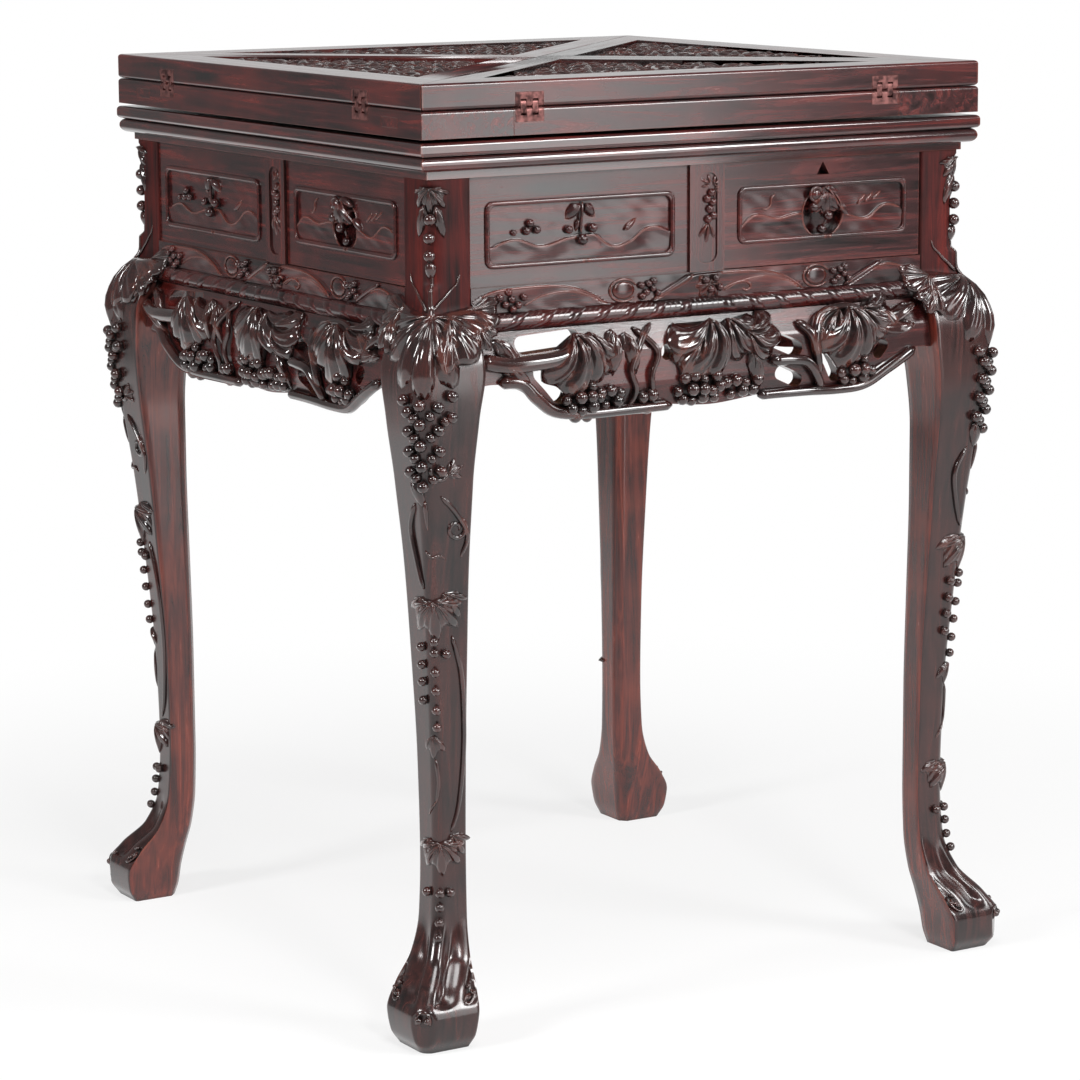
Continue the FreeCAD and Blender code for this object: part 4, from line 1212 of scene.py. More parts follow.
@dataclass
class LowerRails(Carver):
    """Rails under the drawers: a vine in low relief over a slanted rope moulding."""

    face_out: float = 260.0
    half: float = 222.0
    rope_low: float = 576.6
    rope_high: float = 591.6
    rope_bulge: float = 6.5
    lobe_pitch: float = 27.0
    lobe_depth: float = 4.6
    lobe_lean: float = 11.0
    lean_reach: float = 60.0
    lobe_share: float = 0.6
    reed_share: float = 0.2
    reed_height: float = 0.72
    lobe_power: float = 0.45
    reed_power: float = 0.6
    swell: float = 2.2
    overlap: float = 0.6
    seat: float = 0.8
    band_low: float = 592.0
    band_high: float = 612.2
    band_middle: float = 602.1
    bank_rise: float = 2.4
    bank_fall: float = 16.0

    def rope(self) -> Shape:
        """The moulding: broad lobes with a pair of reeds between them, leaning away from the middle.

        Returns:
            The shape, to lie on the rail's face.
        """
        count, around = 640, 15
        u = np.linspace(-self.half, self.half, count)[:, None]
        s = np.linspace(-1, 1, around)[None, :]
        middle, tall = (self.rope_low + self.rope_high) / 2, (self.rope_high - self.rope_low) / 2
        lean = self.lobe_lean * np.minimum(1, np.abs(u) / self.lean_reach) * s
        phase = ((np.abs(u) + lean) / self.lobe_pitch + 0.5) % 1.0
        lobe = np.abs(np.sin(math.pi * phase / self.lobe_share)) ** self.lobe_power
        reed = np.abs(np.sin(math.pi * (phase - self.lobe_share) / self.reed_share)) ** self.reed_power
        wave = np.where(phase < self.lobe_share, lobe, self.reed_height * reed)
        plump = self.rope_bulge + self.swell - self.lobe_depth * (1 - wave)
        angle = s * math.pi / 2
        rise = middle + (tall + self.overlap) * np.sin(angle) + 0 * u
        points = np.stack([u + 0 * s, rise, plump * np.cos(angle) - self.seat + 0 * u], axis=-1)
        return Shape(points.reshape(-1, 3), grid_faces(count, around))

    def motif(self, u: float) -> list[Shape]:
        """An outlined oval boss, a cluster of berries and a straight rising rod, right of a long leaf.

        Args:
            u: middle of the boss.

        Returns:
            The shapes.
        """
        mid = self.band_middle
        shapes = [pebble(11, 7.5, 2.4).placed(u, mid)]
        ring = [(u + 13 * math.cos(a), mid + 9 * math.sin(a), 0.6) for a in np.linspace(0.4, 5.6, 14)]
        shapes.append(stem(ring, 1.2, 1.2, 0.8))
        shapes += berries([(u + a, mid + b) for a, b in (
            (17, 3), (22, -3), (18, -6), (24, 4), (28, 0), (29, 6), (33, -4))], 3.1)
        rod = [(u + 29, mid - 9, 1.0), (u + 48, mid, 1.8), (u + 68, mid + 9, 1.2)]
        return shapes + [stem(rod, 2.0, 2.6)]

    def ground(self) -> list[Shape]:
        """The ground of the band: long leaves that swell under their raised upper edges.

        Returns:
            The shapes, to lie on the rail's face.
        """
        crest = [(-222, 600), (-206, 608), (-186, 610.5), (-160, 611), (-140, 610), (-122, 606), (-106, 599),
                 (-94, 593), (-56, 592), (-44, 596), (-16, 609), (4, 611), (40, 611), (60, 609.5), (78, 605),
                 (92, 598), (102, 592.5), (140, 592), (152, 596), (176, 607), (194, 607), (210, 600),
                 (222, 594)]
        line = smooth_path(crest, 240)
        shapes = [bank(-self.half, self.half, self.band_low, self.band_high, line, self.bank_rise,
                       self.bank_fall)]
        for first, last in ((-214, -92), (14, 104), (168, 218)):
            part = line[(line[:, 0] > first) & (line[:, 0] < last)][::3]
            shapes.append(stem([(u, v - 0.4, 2.0) for u, v in part], 1.2, 1.0, 0.8))
        for u in (-140, 54):
            part = [(u + a, 603 + b, 1.8) for a, b in ((-34, -7), (-16, 0), (8, 2), (28, -3), (40, -9))]
            shapes.append(stem(part, 0.8, 0.9, 0.8))
        curl = [(16, 596, 1.2), (28, 601, 1.6), (40, 602, 1.6), (46, 598, 1.6), (42, 594.5, 1.4),
                (37, 596.5, 1.2)]
        return shapes + [stem(curl, 1.2, 1.2, 0.8)]

    def vine(self) -> list[Shape]:
        """The vine over the moulding: long leaves, oval bosses, berries and a clump under the divider.

        Returns:
            The shapes, to lie on the rail's face.
        """
        mid = self.band_middle
        clump = VineLeaf(length=15, spread=280, lobes=7, notch=0.25, crown=4.0, groove=1.2)
        shapes = self.ground() + self.motif(-79) + self.motif(113)
        shapes += berries([(-186 + a, mid + b) for a, b in (
            (0, 0), (6, -5), (-6, -4), (11, 1), (-3, 6), (1, -8), (-11, 2))], 3.3, lift=1.0)
        shapes.append(clump.placed(4, mid + 1, 180, 1.0))
        return shapes + berries([(4 + a, mid + b) for a, b in (
            (-5, 4), (5, 5), (0, -4), (9, -3))], 3.4, lift=3.0)

    def build(self) -> None:
        """Builds the rails' carving once and sets it on each side."""
        wood = PolishedRosewood(Grain.ACROSS).material()
        rope = self.mesh("rail_rope", [self.rope()], FrontFace(self.face_out), wood)
        vine = self.mesh("rail_vine", self.vine(), FrontFace(self.face_out), wood)
        for k, side in enumerate(SIDES):
            dress(f"lower_rail_{side}", PolishedRosewood(SIDE_GRAIN[side]).material())
            self.set_piece(f"rail_rope_{side}", rope, "frame", k)
            self.set_piece(f"rail_vine_{side}", vine, "frame", k)


@dataclass
class PiercedAprons(Carver):
    """Aprons under the rails: branches, veined leaves and bunches of grapes round open slots."""

    grape: float = 5.2
    grape_pitch: float = 10.4
    grape_drop: float = 8.6
    swell: float = 5.0
    stray: float = 0.16
    unlike: float = 0.13
    edge_ease: float = 1.2

    def bunch(self, u: float, v: float, rows: Sequence[int]) -> list[Shape]:
        """A bunch of grapes hanging from its top row.

        Args:
            u: middle of the top row.
            v: height of the top row.
            rows: berries in each row, from the top.

        Returns:
            The berries.
        """
        pitch, shapes = self.grape_pitch, []
        for r, count in enumerate(rows):
            for i in range(count):
                off = (i - (count - 1) / 2) * pitch
                rise = self.swell * (1 - abs(2 * r / max(1, len(rows) - 1) - 1) ** 2)
                rise = max(0.0, rise * (1 - (2 * off / (pitch * 4)) ** 2))
                aside, down = (self.stray * pitch * math.sin(a * r + b * i)
                               for a, b in ((3.1, 5.3), (1.7, 4.1)))
                grape = berry(self.grape * (1 + self.unlike * math.sin(4.7 * r + 2.3 * i)))
                shapes.append(grape.placed(u + off + aside, v - self.grape_drop * r - down, lift=rise))
        return shapes

    def front_carving(self) -> list[Shape]:
        """The carving of one apron, which leaves the slots between the leaves open.

        Returns:
            The shapes, to lie on the apron's face.
        """
        broad = VineLeaf(length=50, spread=120, lobes=3, notch=0.14, point=1.4, shorten=0.25, crown=11.0,
                         groove=3.6, ribs=2, flute=1.5, swirl=26, sink=4)
        plump = VineLeaf(length=38, spread=104, lobes=3, notch=0.14, point=1.4, shorten=0.25, crown=9.5,
                         groove=3.0, ribs=2, flute=1.5, swirl=-22, sink=4)
        slim = VineLeaf(length=36, spread=64, lobes=1, notch=0.6, point=1.2, crown=8.0, groove=2.6, flute=1.5,
                        swirl=16, sink=4)
        shapes = [leaf.placed(u, v, turn, lift) for u, v, turn, leaf, lift in (
            (-136, 569, 204, broad, 4), (-120, 570, 186, plump, 2), (-98, 571, 196, slim, 1),
            (-86, 568, 214, slim, 0), (-160, 552, 252, slim, 2), (-210, 570, 246, slim, 1),
            (-204, 552, 250, slim, 2), (-12, 560, 128, plump, 3), (-4, 572, 176, broad, 5),
            (14, 571, 206, plump, 4), (30, 560, 240, plump, 3), (36, 545, 214, slim, 1),
            (128, 571, 128, plump, 4), (136, 572, 196, broad, 5), (150, 570, 236, plump, 3),
            (164, 568, 258, slim, 1), (208, 572, 128, slim, 2), (204, 556, 108, slim, 1),
            (104, 566, 196, slim, 0))]
        for u, v, rows in ((-128, 530, (3, 4, 3, 2)), (-100, 523, (3, 2)), (-14, 528, (4, 5, 4)),
                           (28, 522, (4, 3)), (143, 532, (3, 4, 3)), (-64, 516, (2, 1))):
            shapes += self.bunch(u, v, rows)
        return shapes + self.branches()

    def branches(self) -> list[Shape]:
        """The branches along the lower edge and between the slots of one apron.

        Returns:
            The shapes, to lie on the apron's face.
        """
        arch = [(104, 536, 3), (100, 552, 5), (108, 566, 6), (124, 573, 7), (142, 573, 6), (158, 564, 4)]
        left_edge = [(-206, 538, 1), (-186, 536, 3), (-172, 524, 4), (-152, 511, 4), (-124, 507, 4),
                     (-84, 507, 4), (-40, 507, 3)]
        right_edge = [(46, 508, 3), (72, 508, 3), (98, 508, 4), (126, 507, 4), (152, 509, 4), (176, 521, 3),
                      (206, 536, 1)]
        return stems(
            ([(-222, 556, 0), (-200, 551, 4), (-176, 551, 6), (-150, 553, 6), (-132, 560, 5)], 6.4, 5.0),
            (arch, 4.6, 3.6), (left_edge, 5.4, 4.6), (right_edge, 4.4, 4.8),
            ([(56, 536, 3), (74, 536, 5), (92, 533, 5), (104, 520, 4), (110, 509, 3)], 4.8, 4.0),
            ([(86, 566, 2), (96, 556, 4), (102, 540, 5), (106, 520, 3)], 4.0, 3.2),
            ([(-56, 574, 1), (-72, 558, 3), (-82, 540, 4), (-76, 522, 3), (-82, 508, 2)], 2.8, 2.2),
            ([(-74, 572, 1), (-56, 552, 3), (-62, 534, 4), (-58, 512, 2)], 2.6, 2.0))

    def build(self) -> None:
        """Builds the carving once and sets it on each side."""
        wood = PolishedRosewood(Grain.ACROSS, Stain.CARVED, polish=Polish.BRIGHT).material()
        carving = self.mesh("apron_carving", self.front_carving(), BulgedFace(), wood)
        for k, side in enumerate(SIDES):
            grain = PolishedRosewood(SIDE_GRAIN[side]).material()
            self.eased(f"apron_{side}", "frame", [grain], self.edge_ease)
            self.set_piece(f"apron_carving_{side}", carving, "frame", k)


@dataclass
class PanelCarving(Carver):
    """The vine on the sunk fields of the blind panels and drawers, and the drops on the dividers."""

    field_out: float = 257.0
    divider_out: float = 257.6
    bank_rise: float = 1.7
    bank_fall: float = 14.0
    bank_inset: float = 3.0
    ridge_radius: float = 0.9
    ridge_drop: float = 0.5
    ridge_sink: float = 0.3
    bead_inset: float = 2.0
    bead_corner: float = 5.0
    bead_radius: float = 2.0
    bead_rise: float = 1.9
    bead_lap: float = 8.0
    scoop_radius: float = 20.0
    blind: Quad = (-208.0, -28.0, 626.6, 680.6)
    drawer: Quad = (34.6, 207.4, 632.2, 680.0)
    scoop: tuple[float, float] = (121.0, 653.2)
    pull_height: float = 672.0
    boss_side: float = 9.5
    boss_drop: float = 2.0
    boss_ring: float = 5.8
    spray_step: tuple[float, float] = (7.5, 1.5)
    spray_turn: float = -4.0

    def ground(self, field: Quad, crest: Path, hole: Triple | None = None) -> list[Shape]:
        """The ground of a field, with a crisp ridge along its crest.

        Args:
            field: the field's left, right, lower and upper edges.
            crest: stops along the ridge in mm.
            hole: middle and radius of an opening in the ground.

        Returns:
            The ground and the ridge, which stops short of the opening.
        """
        left, right, low, high = field
        inset = self.bank_inset
        line = smooth_path(crest, 120)
        shapes = [bank(left + inset, right - inset, low + inset, high - inset, line, self.bank_rise,
                       self.bank_fall, hole)]
        ridge = line[2:-2:4]
        runs = [ridge]
        if hole is not None:
            runs = [ridge[ridge[:, 0] < hole[0] - hole[2]], ridge[ridge[:, 0] > hole[0] + hole[2]]]
        for run in runs:
            stops = [(u, v - self.ridge_drop, self.bank_rise - self.ridge_sink) for u, v in run]
            shapes.append(stem(stops, self.ridge_radius, self.ridge_radius, 0.6))
        return shapes

    def bead(self, field: Quad) -> Shape:
        """The half-round bead round a field.

        Args:
            field: the field's left, right, lower and upper edges.

        Returns:
            The bead, which laps over its own start.
        """
        inset, bend = self.bead_inset, self.bead_corner
        left, right, low, high = (edge + step for edge, step in zip(field, (inset, -inset, inset, -inset)))
        corners = ((right - bend, low + bend, -90), (right - bend, high - bend, 0),
                   (left + bend, high - bend, 90), (left + bend, low + bend, 180))
        turns = [(u + bend * math.cos(a), v + bend * math.sin(a)) for u, v, first in corners
                 for a in np.radians(np.linspace(first, first + 90, 7))]
        middle = (left + right) / 2
        ends = [(middle, low)] + turns + [(middle + self.bead_lap, low)]
        path = []
        for start, end in zip(ends, ends[1:]):
            steps = max(1, round(math.dist(start, end) / 2))
            path += [np.array(start) + (np.array(end) - start) * k / steps for k in range(steps)]
        stops = [(u, v, self.bead_rise) for u, v in path + ends[-1:]]
        return stem(stops, self.bead_radius, self.bead_radius, 0.8)

    def blind_vine(self) -> list[Shape]:
        """The vine of a blind panel: ground, two curled leaves, berries on the left, a leaf on the right.

        Returns:
            The shapes, to lie on the panel's field.
        """
        shapes = self.ground(self.blind, (
            (-201.2, 643.9), (-188.8, 648.1), (-177.3, 649.0), (-169.6, 646.5), (-158.4, 642.8),
            (-146.9, 643.5), (-135.2, 646.7), (-127.9, 647.9), (-105.1, 649.0), (-97.4, 643.8),
            (-89.6, 639.3), (-80.2, 638.7), (-69.0, 642.8), (-59.5, 649.5), (-51.8, 652.2), (-42.3, 651.8),
            (-32.9, 647.9)))
        shapes += self.leaf_pair() + [self.bead(self.blind)]
        shapes += berries([(-166.2, 661.4), (-169.6, 655.4), (-159.9, 655.9)], 3.5, 0.4)
        shapes += berries([(-181.2, 654.5)], 2.6, 0.4)
        leaf = VineLeaf(length=16, spread=64, lobes=1, notch=0.55, crown=3.0, groove=0.9, ribs=1, sink=1)
        return shapes + [leaf.placed(-76.7, 650.4, -53)]

    def drawer_vine(self) -> list[Shape]:
        """The vine of a drawer: ground round the scoop, a curl left of the pull and a spray right of it.

        Returns:
            The shapes, to lie on the drawer's field.
        """
        shapes = self.ground(self.drawer, (
            (35, 644), (40, 648.5), (52.8, 656), (75.8, 652), (95.8, 655), (120, 652), (142, 652.5),
            (165, 647.4), (183.5, 657.7), (199, 655.8), (206.5, 650)), self.scoop + (self.scoop_radius,))
        curl = [(73, 672, 0.4), (69, 669, 0.5), (68.5, 664, 0.5), (65, 660, 0.4), (60, 660, 0.3)]
        shapes += [stem(curl, 1.3, 0.9, 0.8), self.bead(self.drawer)]
        rim = self.scoop_radius + 0.4
        ring = [(self.scoop[0] + rim * math.cos(a), self.scoop[1] + rim * math.sin(a), 0.5)
                for a in np.linspace(-math.pi / 2, 1.5 * math.pi, 41)]
        shapes.append(stem(ring, 0.9, 0.9, 0.8))
        return shapes + self.spray(157, 659, -46)

    def spray(self, u: float, v: float, turn: float) -> list[Shape]:
        """Three small leaves side by side.

        Args:
            u: root of the first leaf.
            v: height of its root.
            turn: their turn in degrees.

        Returns:
            The leaves.
        """
        leaf = VineLeaf(length=12, spread=52, lobes=1, notch=0.6, crown=1.6, groove=0.5, ribs=1, sink=1)
        across, up = self.spray_step
        return [leaf.placed(u + across * k, v + up * k, turn + self.spray_turn * k) for k in range(3)]

    def leaf_pair(self) -> list[Shape]:
        """Two plump leaves, a small one and three berries hung from one stalk.

        Returns:
            The shapes, to lie on the panel's field.
        """
        first = VineLeaf(length=18.3, spread=92, lobes=1, notch=0.4, crown=6.0, groove=1.8, ribs=1, flute=4,
                         sink=1)
        second = VineLeaf(length=15.5, spread=92, lobes=1, notch=0.4, crown=5.6, groove=1.6, ribs=1, flute=4,
                          sink=1)
        small = VineLeaf(length=10, spread=80, lobes=1, notch=0.45, crown=3.6, groove=0.8, ribs=1, sink=1)
        stalk = [(-117, 676, 2), (-118, 668, 3.2), (-118.4, 658, 2.4), (-118, 650, 1.8)]
        shapes = [first.placed(-119.5, 674.8, 134), second.placed(-114.5, 674.5, 221),
                  small.placed(-121, 662, 172), stem(stalk, 1.5, 1.1)]
        for u, v, radius in ((-130, 654.3, 3.6), (-108, 654.5, 4.2), (-118, 645.8, 4.8)):
            shapes += berries([(u, v)], radius, 0.25)
        return shapes

    def pull(self) -> list[Shape]:
        """The carved pull over the scoop: a lobed leaf, a curled one, and berries that hang in the scoop.

        Returns:
            The shapes, to lie on the drawer's field.
        """
        u, v = self.scoop[0], self.pull_height
        leaf = VineLeaf(length=22, spread=116, lobes=3, shorten=0.05, crown=4.6, groove=1.8, ribs=1, flute=3,
                        sink=6)
        side = VineLeaf(length=17, spread=74, lobes=1, notch=0.5, crown=4.0, groove=1.4, ribs=1, flute=3,
                        sink=5)
        boss_u, boss_v, ring = u - self.boss_side, v - self.boss_drop, self.boss_ring
        rim = [(boss_u + ring * math.cos(a), boss_v + ring * math.sin(a), 5.2)
               for a in np.linspace(0, 2 * math.pi, 17)]
        branch = [(u + 3, v + 2, 6.5), (u + 9, v - 6, 6), (u + 15, v - 12, 4), (u + 21, v - 17, 2)]
        shapes = [leaf.placed(u, v, 182, 4.6), pebble(5.4, 5.4, 5.0).placed(boss_u, boss_v, lift=2.5),
                  stem(rim, 1.5, 1.5, 0.9), side.placed(u - 1, v + 4, 250, 3.0), stem(branch, 1.4, 1.0),
                  side.placed(u + 16, v - 11, 226, 0.5)]
        for a, b, lift in ((-12, 12.5, 3), (1.8, 20, 4), (0.2, 31.7, -3)):
            shapes += berries([(u + a, v - b)], 4.3, 0.5, lift)
        return shapes + [stem([(u + 2, v - 14, 6), (u + 3, v - 24, 2), (u, v - 30, -1)], 1.3, 1.1)]

    def divider_drop(self) -> list[Shape]:
        """The drop of leaves and berries down a divider's sunk field, beside a waving raised edge.

        Returns:
            The shapes, to lie on the divider's face.
        """
        leaf = VineLeaf(length=12, spread=150, lobes=3, crown=3.4, groove=1.2, sink=1)
        tongue = VineLeaf(length=21, spread=96, lobes=3, notch=0.3, crown=4.2, groove=1.5, sink=1)
        edge = [(15, 676, 0.3), (16, 664, 0.5), (12, 650, 0.5), (13, 636, 0.5), (8, 624, 0.4), (3, 618, 0.3)]
        shapes = [leaf.placed(6, 684, 60), leaf.placed(9, 684, -70), leaf.placed(10, 680, 235)]
        shapes += berries([(7, 677), (3, 672), (8.5, 669), (5.5, 663.5), (9, 658), (4, 655.5)], 3.6, 0.3)
        return shapes + [tongue.placed(4, 653, 176), stem(edge, 1.2, 1.2)]

    def build(self) -> None:
        """Builds the carving once and sets it on each side."""
        wood = PolishedRosewood(Grain.ACROSS).material()
        blind = self.mesh("panel_vine", self.blind_vine(), FrontFace(self.field_out), wood)
        drawer = self.mesh("drawer_vine", self.drawer_vine(), FrontFace(self.field_out), wood)
        pull = self.mesh("drawer_pull", self.pull(), FrontFace(self.field_out), wood)
        drop = self.mesh("divider_drop", self.divider_drop(), FrontFace(self.divider_out), wood)
        for k, side in enumerate(SIDES):
            grain = PolishedRosewood(SIDE_GRAIN[side]).material()
            dress(f"blind_panel_{side}", grain)
            dress(f"drawer_face_{side}", grain)
            self.set_piece(f"panel_vine_{side}", blind, "frame", k)
            self.set_piece(f"divider_drop_{side}", drop, "frame", k)
            self.set_piece(f"drawer_vine_{side}", drawer, f"drawer_{side}", k)
            self.set_piece(f"drawer_pull_{side}", pull, f"drawer_{side}", k)
        dress("dividers", PolishedRosewood(Grain.UPRIGHT).material())


@dataclass
class EnvelopeTop(Carver):
    """The four flaps with their carved sunk panels, the turning board and the cornice."""

    half: float = 272.5
    panel_top: float = 770.0
    rim_ease: float = 0.3
    cornice_ease: float = 0.4
    apex: float = -38.6
    base: float = -228.5
    pitch: float = 37.0
    base_margin: float = 19.0
    side_margin: float = 16.0
    leaf_turn: float = 47.0
    filler_rows: int = 12
    filler_columns: int = 11
    filler_start: float = 8.0
    filler_margin: float = 6.0
    row_share: float = 0.84
    leaf_gap: float = 15.5
    berry_gap: float = 11.0
    seed: int = 7

    def inside(self, u: float, v: float, margin: float) -> bool:
        """True where a place is in the panel's triangle, clear of its edges by a margin."""
        return v - self.base > margin and (self.apex - v - abs(u)) / math.sqrt(2) > margin

    def main_leaves(self) -> list[Triple]:
        """Lays out the main leaves in staggered rows.

        Returns:
            Place and turn of each leaf.
        """
        step = self.pitch * math.sqrt(3) / 2
        columns = int(self.half / self.pitch)
        places = []
        for row in range(int((self.apex - self.base) / step)):
            v = self.base + self.base_margin + row * step
            room = self.apex - v - self.side_margin * math.sqrt(2)
            for column in range(-columns, columns + 1):
                u = (column + row % 2 / 2) * self.pitch
                if abs(u) <= room:
                    places.append((u, v, self.leaf_turn * (column + 2 * row)))
        return places

    def fillers(self, places: Sequence[Triple], chance: np.random.Generator) -> list[Shape]:
        """Small leaves and berries in the gaps between the main leaves.

        Args:
            places: place and turn of each main leaf.
            chance: where the random draws come from.

        Returns:
            The shapes.
        """
        shapes = []
        step = self.pitch / 2
        for row in range(self.filler_rows):
            for column in range(-self.filler_columns, self.filler_columns + 1):
                u = (column + 0.5 * (row % 2)) * step + chance.uniform(-2, 2)
                v = self.base + self.filler_start + row * step * self.row_share + chance.uniform(-2, 2)
                turn, size = chance.uniform(0, 360), chance.uniform(9, 12)
                if not self.inside(u, v, self.filler_margin):
                    continue
                near = min(math.hypot(u - pu, v - pv) for pu, pv, _ in places)
                if near > self.leaf_gap:
                    leaf = VineLeaf(length=size, spread=230, lobes=5, notch=0.36, crown=3.2, groove=0.8,
                                    vein_run=1.08)
                    shapes.append(leaf.placed(u, v, turn, 0.6))
                elif near > self.berry_gap:
                    shapes += berries([(u, v)], chance.uniform(2.4, 3.1), 0.4, 0.5)
        return shapes

    def foliage(self) -> list[Shape]:
        """Close-set leaves, with berries, small leaves and stems in the gaps between them.

        Returns:
            The shapes, to lie on the flap's panel.
        """
        chance = np.random.default_rng(self.seed)
        shapes = []
        places = self.main_leaves()
        for u, v, turn in places:
            leaf = VineLeaf(length=chance.uniform(18.5, 20.5), spread=360, lobes=5, notch=0.36, shorten=0.1,
                            crown=chance.uniform(3.2, 3.7), groove=1.0, vein_run=1.08,
                            swirl=chance.uniform(-12, 12), sink=3)
            shapes.append(leaf.placed(u, v, turn - 90, 1.2))
        shapes += self.fillers(places, chance)
        vines = (([(18, -226, 2), (37, -194, 3), (56, -194, 3), (74, -226, 2)], 1.8),
                 ([(0, -195, 2), (18, -158, 3), (37, -162, 3), (56, -158, 2)], 1.8),
                 ([(92, -195, 2), (112, -190, 3), (130, -194, 3), (150, -226, 2)], 1.6))
        for hand in (1, -1):
            shapes += [stem([(hand * u, v, h) for u, v, h in stops], 2.4, thin) for stops, thin in vines]
        return shapes

    def build(self) -> None:
        """Builds the carving of one flap, sets it on each, and finishes the frames, board and cornice."""
        across = PolishedRosewood(Grain.ACROSS).material()
        dark = PolishedRosewood(Grain.ACROSS, Stain.CARVED).material()
        foliage = self.mesh("flap_foliage", self.foliage(), LevelFace(self.panel_top), dark)
        for k, side in enumerate(SIDES):
            body = f"flap_{side}"
            grain = PolishedRosewood(SIDE_GRAIN[side]).material()
            rising, falling = (PolishedRosewood(g).material() for g in (Grain.RISING, Grain.FALLING))
            rim = self.eased(f"flap_{side}_frame", body, [grain, rising, falling], self.rim_ease)
            back = quarter_turn(-k)
            for face in rim.data.polygons:
                spot = back @ face.center / MM
                if spot.y > self.base - 1:
                    up = (spot.x > 0) != (k % 2 == 1)
                    face.material_index = 2 if up else 1
            dress(f"flap_{side}_panel", PolishedRosewood(SIDE_GRAIN[side], Stain.CARVED).material())
            self.set_piece(f"flap_foliage_{side}", foliage, body, k)
            bright = PolishedRosewood(SIDE_GRAIN[side], polish=Polish.BRIGHT).material()
            self.eased(f"cornice_{side}", "frame", [bright], self.cornice_ease)
        deep = PolishedRosewood(Grain.DEEP).material()
        self.eased("board_side_rails", "turning_top", [deep], self.rim_ease)
        self.eased("board_end_rails", "turning_top", [across], self.rim_ease)
        dress("board_panel", across)


@dataclass
class InnerWork:
    """Hidden woodwork, the pivot and the hinges."""

    def build(self) -> None:
        """Finishes every node that the carving leaves."""
        for node in ("dust_board", "pivot_bearer", "pivot_disc"):
            dress(node, PlainCamphorWood(Grain.ACROSS).material())
        for node in ("drawer_runners", "board_batten"):
            dress(node, PlainCamphorWood(Grain.DEEP).material())
        for node in ("pivot_bolt", "pivot_nut"):
            dress(node, TurnedSteel().material())
        brass = OldBrass().material()
        dress("board_hinge_leaves", brass)
        for side in SIDES:
            dress(f"flap_{side}_hinge_leaves", brass)
            dress(f"hinge_links_{side}", brass)
            inward = Grain.DEEP if side in ("front", "back") else Grain.ACROSS
            dress(f"drawer_box_{side}", PlainCamphorWood(inward).material())
            dress(f"drawer_bottom_{side}", PlainCamphorWood(SIDE_GRAIN[side]).material())


@dataclass(frozen=True)
class SoftBox:
    """A lamp that looks at the table, with its place and size in metres and its power in watts."""

    name: str
    place: Triple
    size: tuple[float, float]
    power: float
    aim: Triple = (0.0, 0.0, 0.45)

    def build(self) -> None:
        """Hangs the lamp, unseen by the camera."""
        data = bpy.data.lights.new(self.name, "AREA")
        data.shape, data.energy = "RECTANGLE", self.power
        data.size, data.size_y = self.size
        lamp = bpy.data.objects.new(self.name, data)
        lamp.location = self.place
        lamp.rotation_euler = (Vector(self.aim) - Vector(self.place)).to_track_quat("-Z", "Y").to_euler()
        lamp.visible_camera = False
        bpy.context.scene.collection.objects.link(lamp)


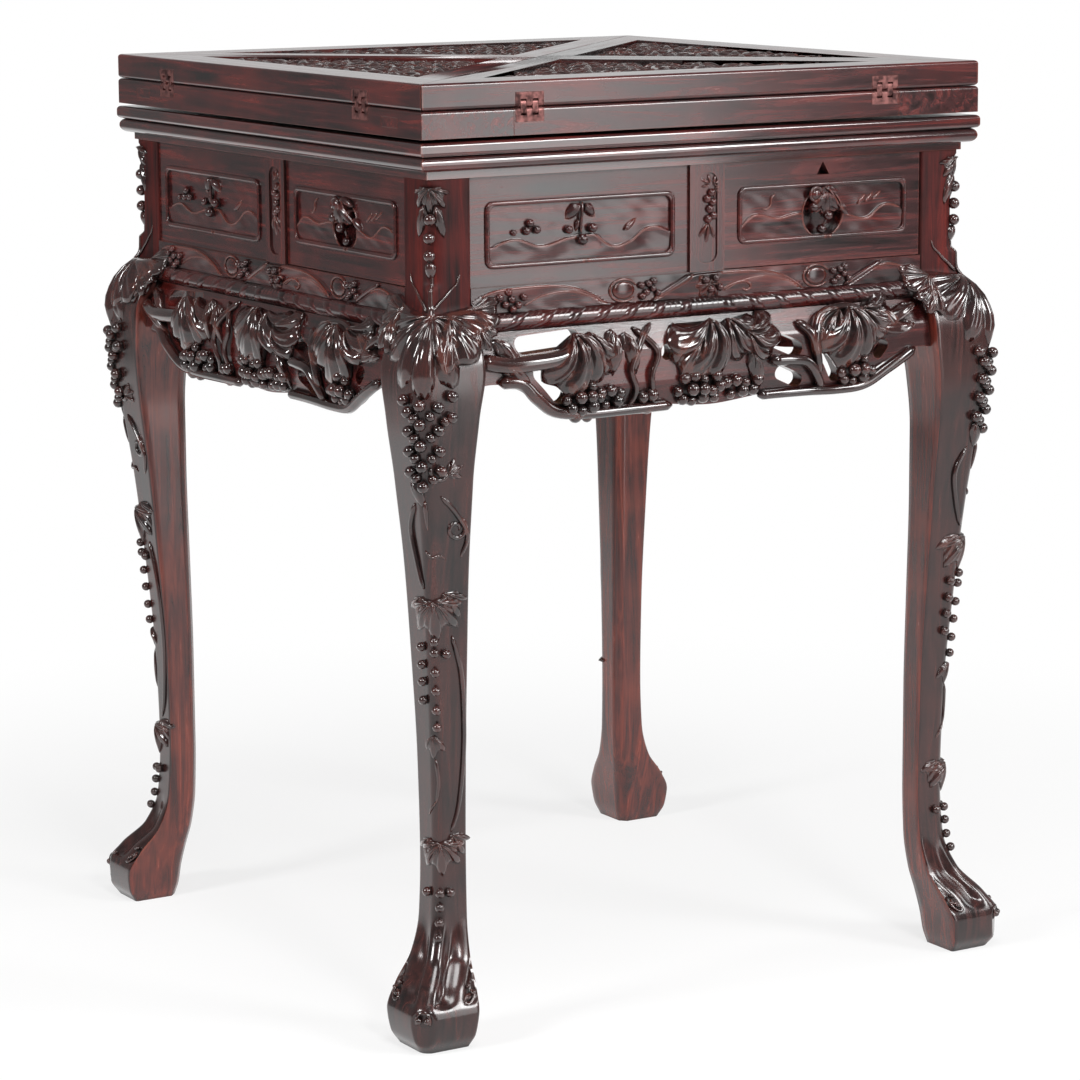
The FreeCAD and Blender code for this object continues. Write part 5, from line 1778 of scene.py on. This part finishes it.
@dataclass
class Studio:
    """Pale floor, soft lamps and the camera, which was fitted to the photograph."""

    focal_pixels: float = 3777.6
    frame_pixels: float = 1080.0
    yaw: float = 0.55074
    pitch: float = 0.18184
    roll: float = -0.00578
    distance: float = 3.3681
    target_height: float = 0.3482
    target_side: float = 0.0005
    floor_size: float = 60.0
    world_level: float = 0.19
    gloss_share: float = 0.06
    lamps: tuple[SoftBox, ...] = (
        SoftBox("soft_box_above", (-0.3, -0.9, 2.7), (0.8, 0.8), 20.0),
        SoftBox("soft_box_front", (1.08, -2.35, 0.7), (0.6, 1.7), 11.0),
        SoftBox("soft_box_camera", (-0.5, -3.2, 2.3), (0.6, 0.6), 42.0),
        SoftBox("soft_box_key", (1.5, -2.45, 2.0), (0.8, 0.9), 44.0),
        SoftBox("soft_box_right", (2.6, -1.0, 1.5), (0.7, 0.7), 8.0),
        SoftBox("soft_box_left", (-2.4, -0.3, 1.7), (0.55, 0.55), 36.0),
        SoftBox("soft_box_back", (1.7, 2.7, 1.1), (2.8, 1.5), 6.5))

    def floor(self) -> None:
        """A wide matt floor that looks white to the camera and still takes the table's shadow."""
        work = bmesh.new()
        bmesh.ops.create_grid(work, x_segments=8, y_segments=8, size=self.floor_size / 2)
        mesh = bpy.data.meshes.new("floor")
        work.to_mesh(mesh)
        work.free()
        floor = bpy.data.objects.new("floor", mesh)
        bpy.context.scene.collection.objects.link(floor)
        mesh.materials.append(MattWhitePaper().material())

    def world(self) -> None:
        """Even light from all round, white to the camera."""
        world = bpy.data.worlds.new("studio")
        bpy.context.scene.world = world
        world.use_nodes = True
        tree = world.node_tree
        tree.nodes.clear()
        rays = add_node(tree, "LightPath").outputs
        seen = add_node(tree, "Math", {
            0: rays["Is Camera Ray"], 1: rays["Is Transmission Ray"]}, operation="MAXIMUM")
        polish = add_node(tree, "Math", {0: rays["Is Glossy Ray"], 1: self.gloss_share}, operation="MULTIPLY")
        seen = add_node(tree, "Math", {0: seen, 1: polish}, operation="MAXIMUM")
        level = add_node(tree, "MapRange", {"Value": seen, "To Min": self.world_level, "To Max": 1.0})
        light = add_node(tree, "Background", {"Color": linear("#ffffff"), "Strength": level})
        add_node(tree, "OutputWorld", {0: light})

    def camera(self) -> None:
        """The camera at the photograph's viewing angle."""
        data = bpy.data.cameras.new("camera")
        data.sensor_width = 36.0
        data.lens = data.sensor_width * self.focal_pixels / self.frame_pixels
        data.clip_end = 200.0
        ahead = Vector((math.sin(self.yaw) * math.cos(self.pitch), math.cos(self.yaw) * math.cos(self.pitch),
                        -math.sin(self.pitch)))
        right = Vector((math.cos(self.yaw), -math.sin(self.yaw), 0))
        up = right.cross(ahead)
        target = right * self.target_side + Vector((0, 0, self.target_height))
        c, s = math.cos(self.roll), math.sin(self.roll)
        across, over = right * c + up * s, up * c - right * s
        turn = Matrix((across, over, -ahead)).transposed().to_4x4()
        camera = bpy.data.objects.new("camera", data)
        camera.matrix_world = Matrix.Translation(target - ahead * self.distance) @ turn
        bpy.context.scene.collection.objects.link(camera)
        bpy.context.scene.camera = camera

    def build(self) -> None:
        """Builds the floor, light and camera."""
        self.floor()
        self.world()
        for lamp in self.lamps:
            lamp.build()
        self.camera()
        bpy.context.scene.view_settings.view_transform = "Standard"


def main() -> None:
    """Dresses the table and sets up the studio."""
    logging.basicConfig(level=logging.INFO, format="%(message)s")
    for kind in (CabrioleLegs, LowerRails, PiercedAprons, PanelCarving, EnvelopeTop, InnerWork, Studio):
        LOG.info("building %s", kind.__name__)
        kind().build()


if __name__ == "__main__":
    main()
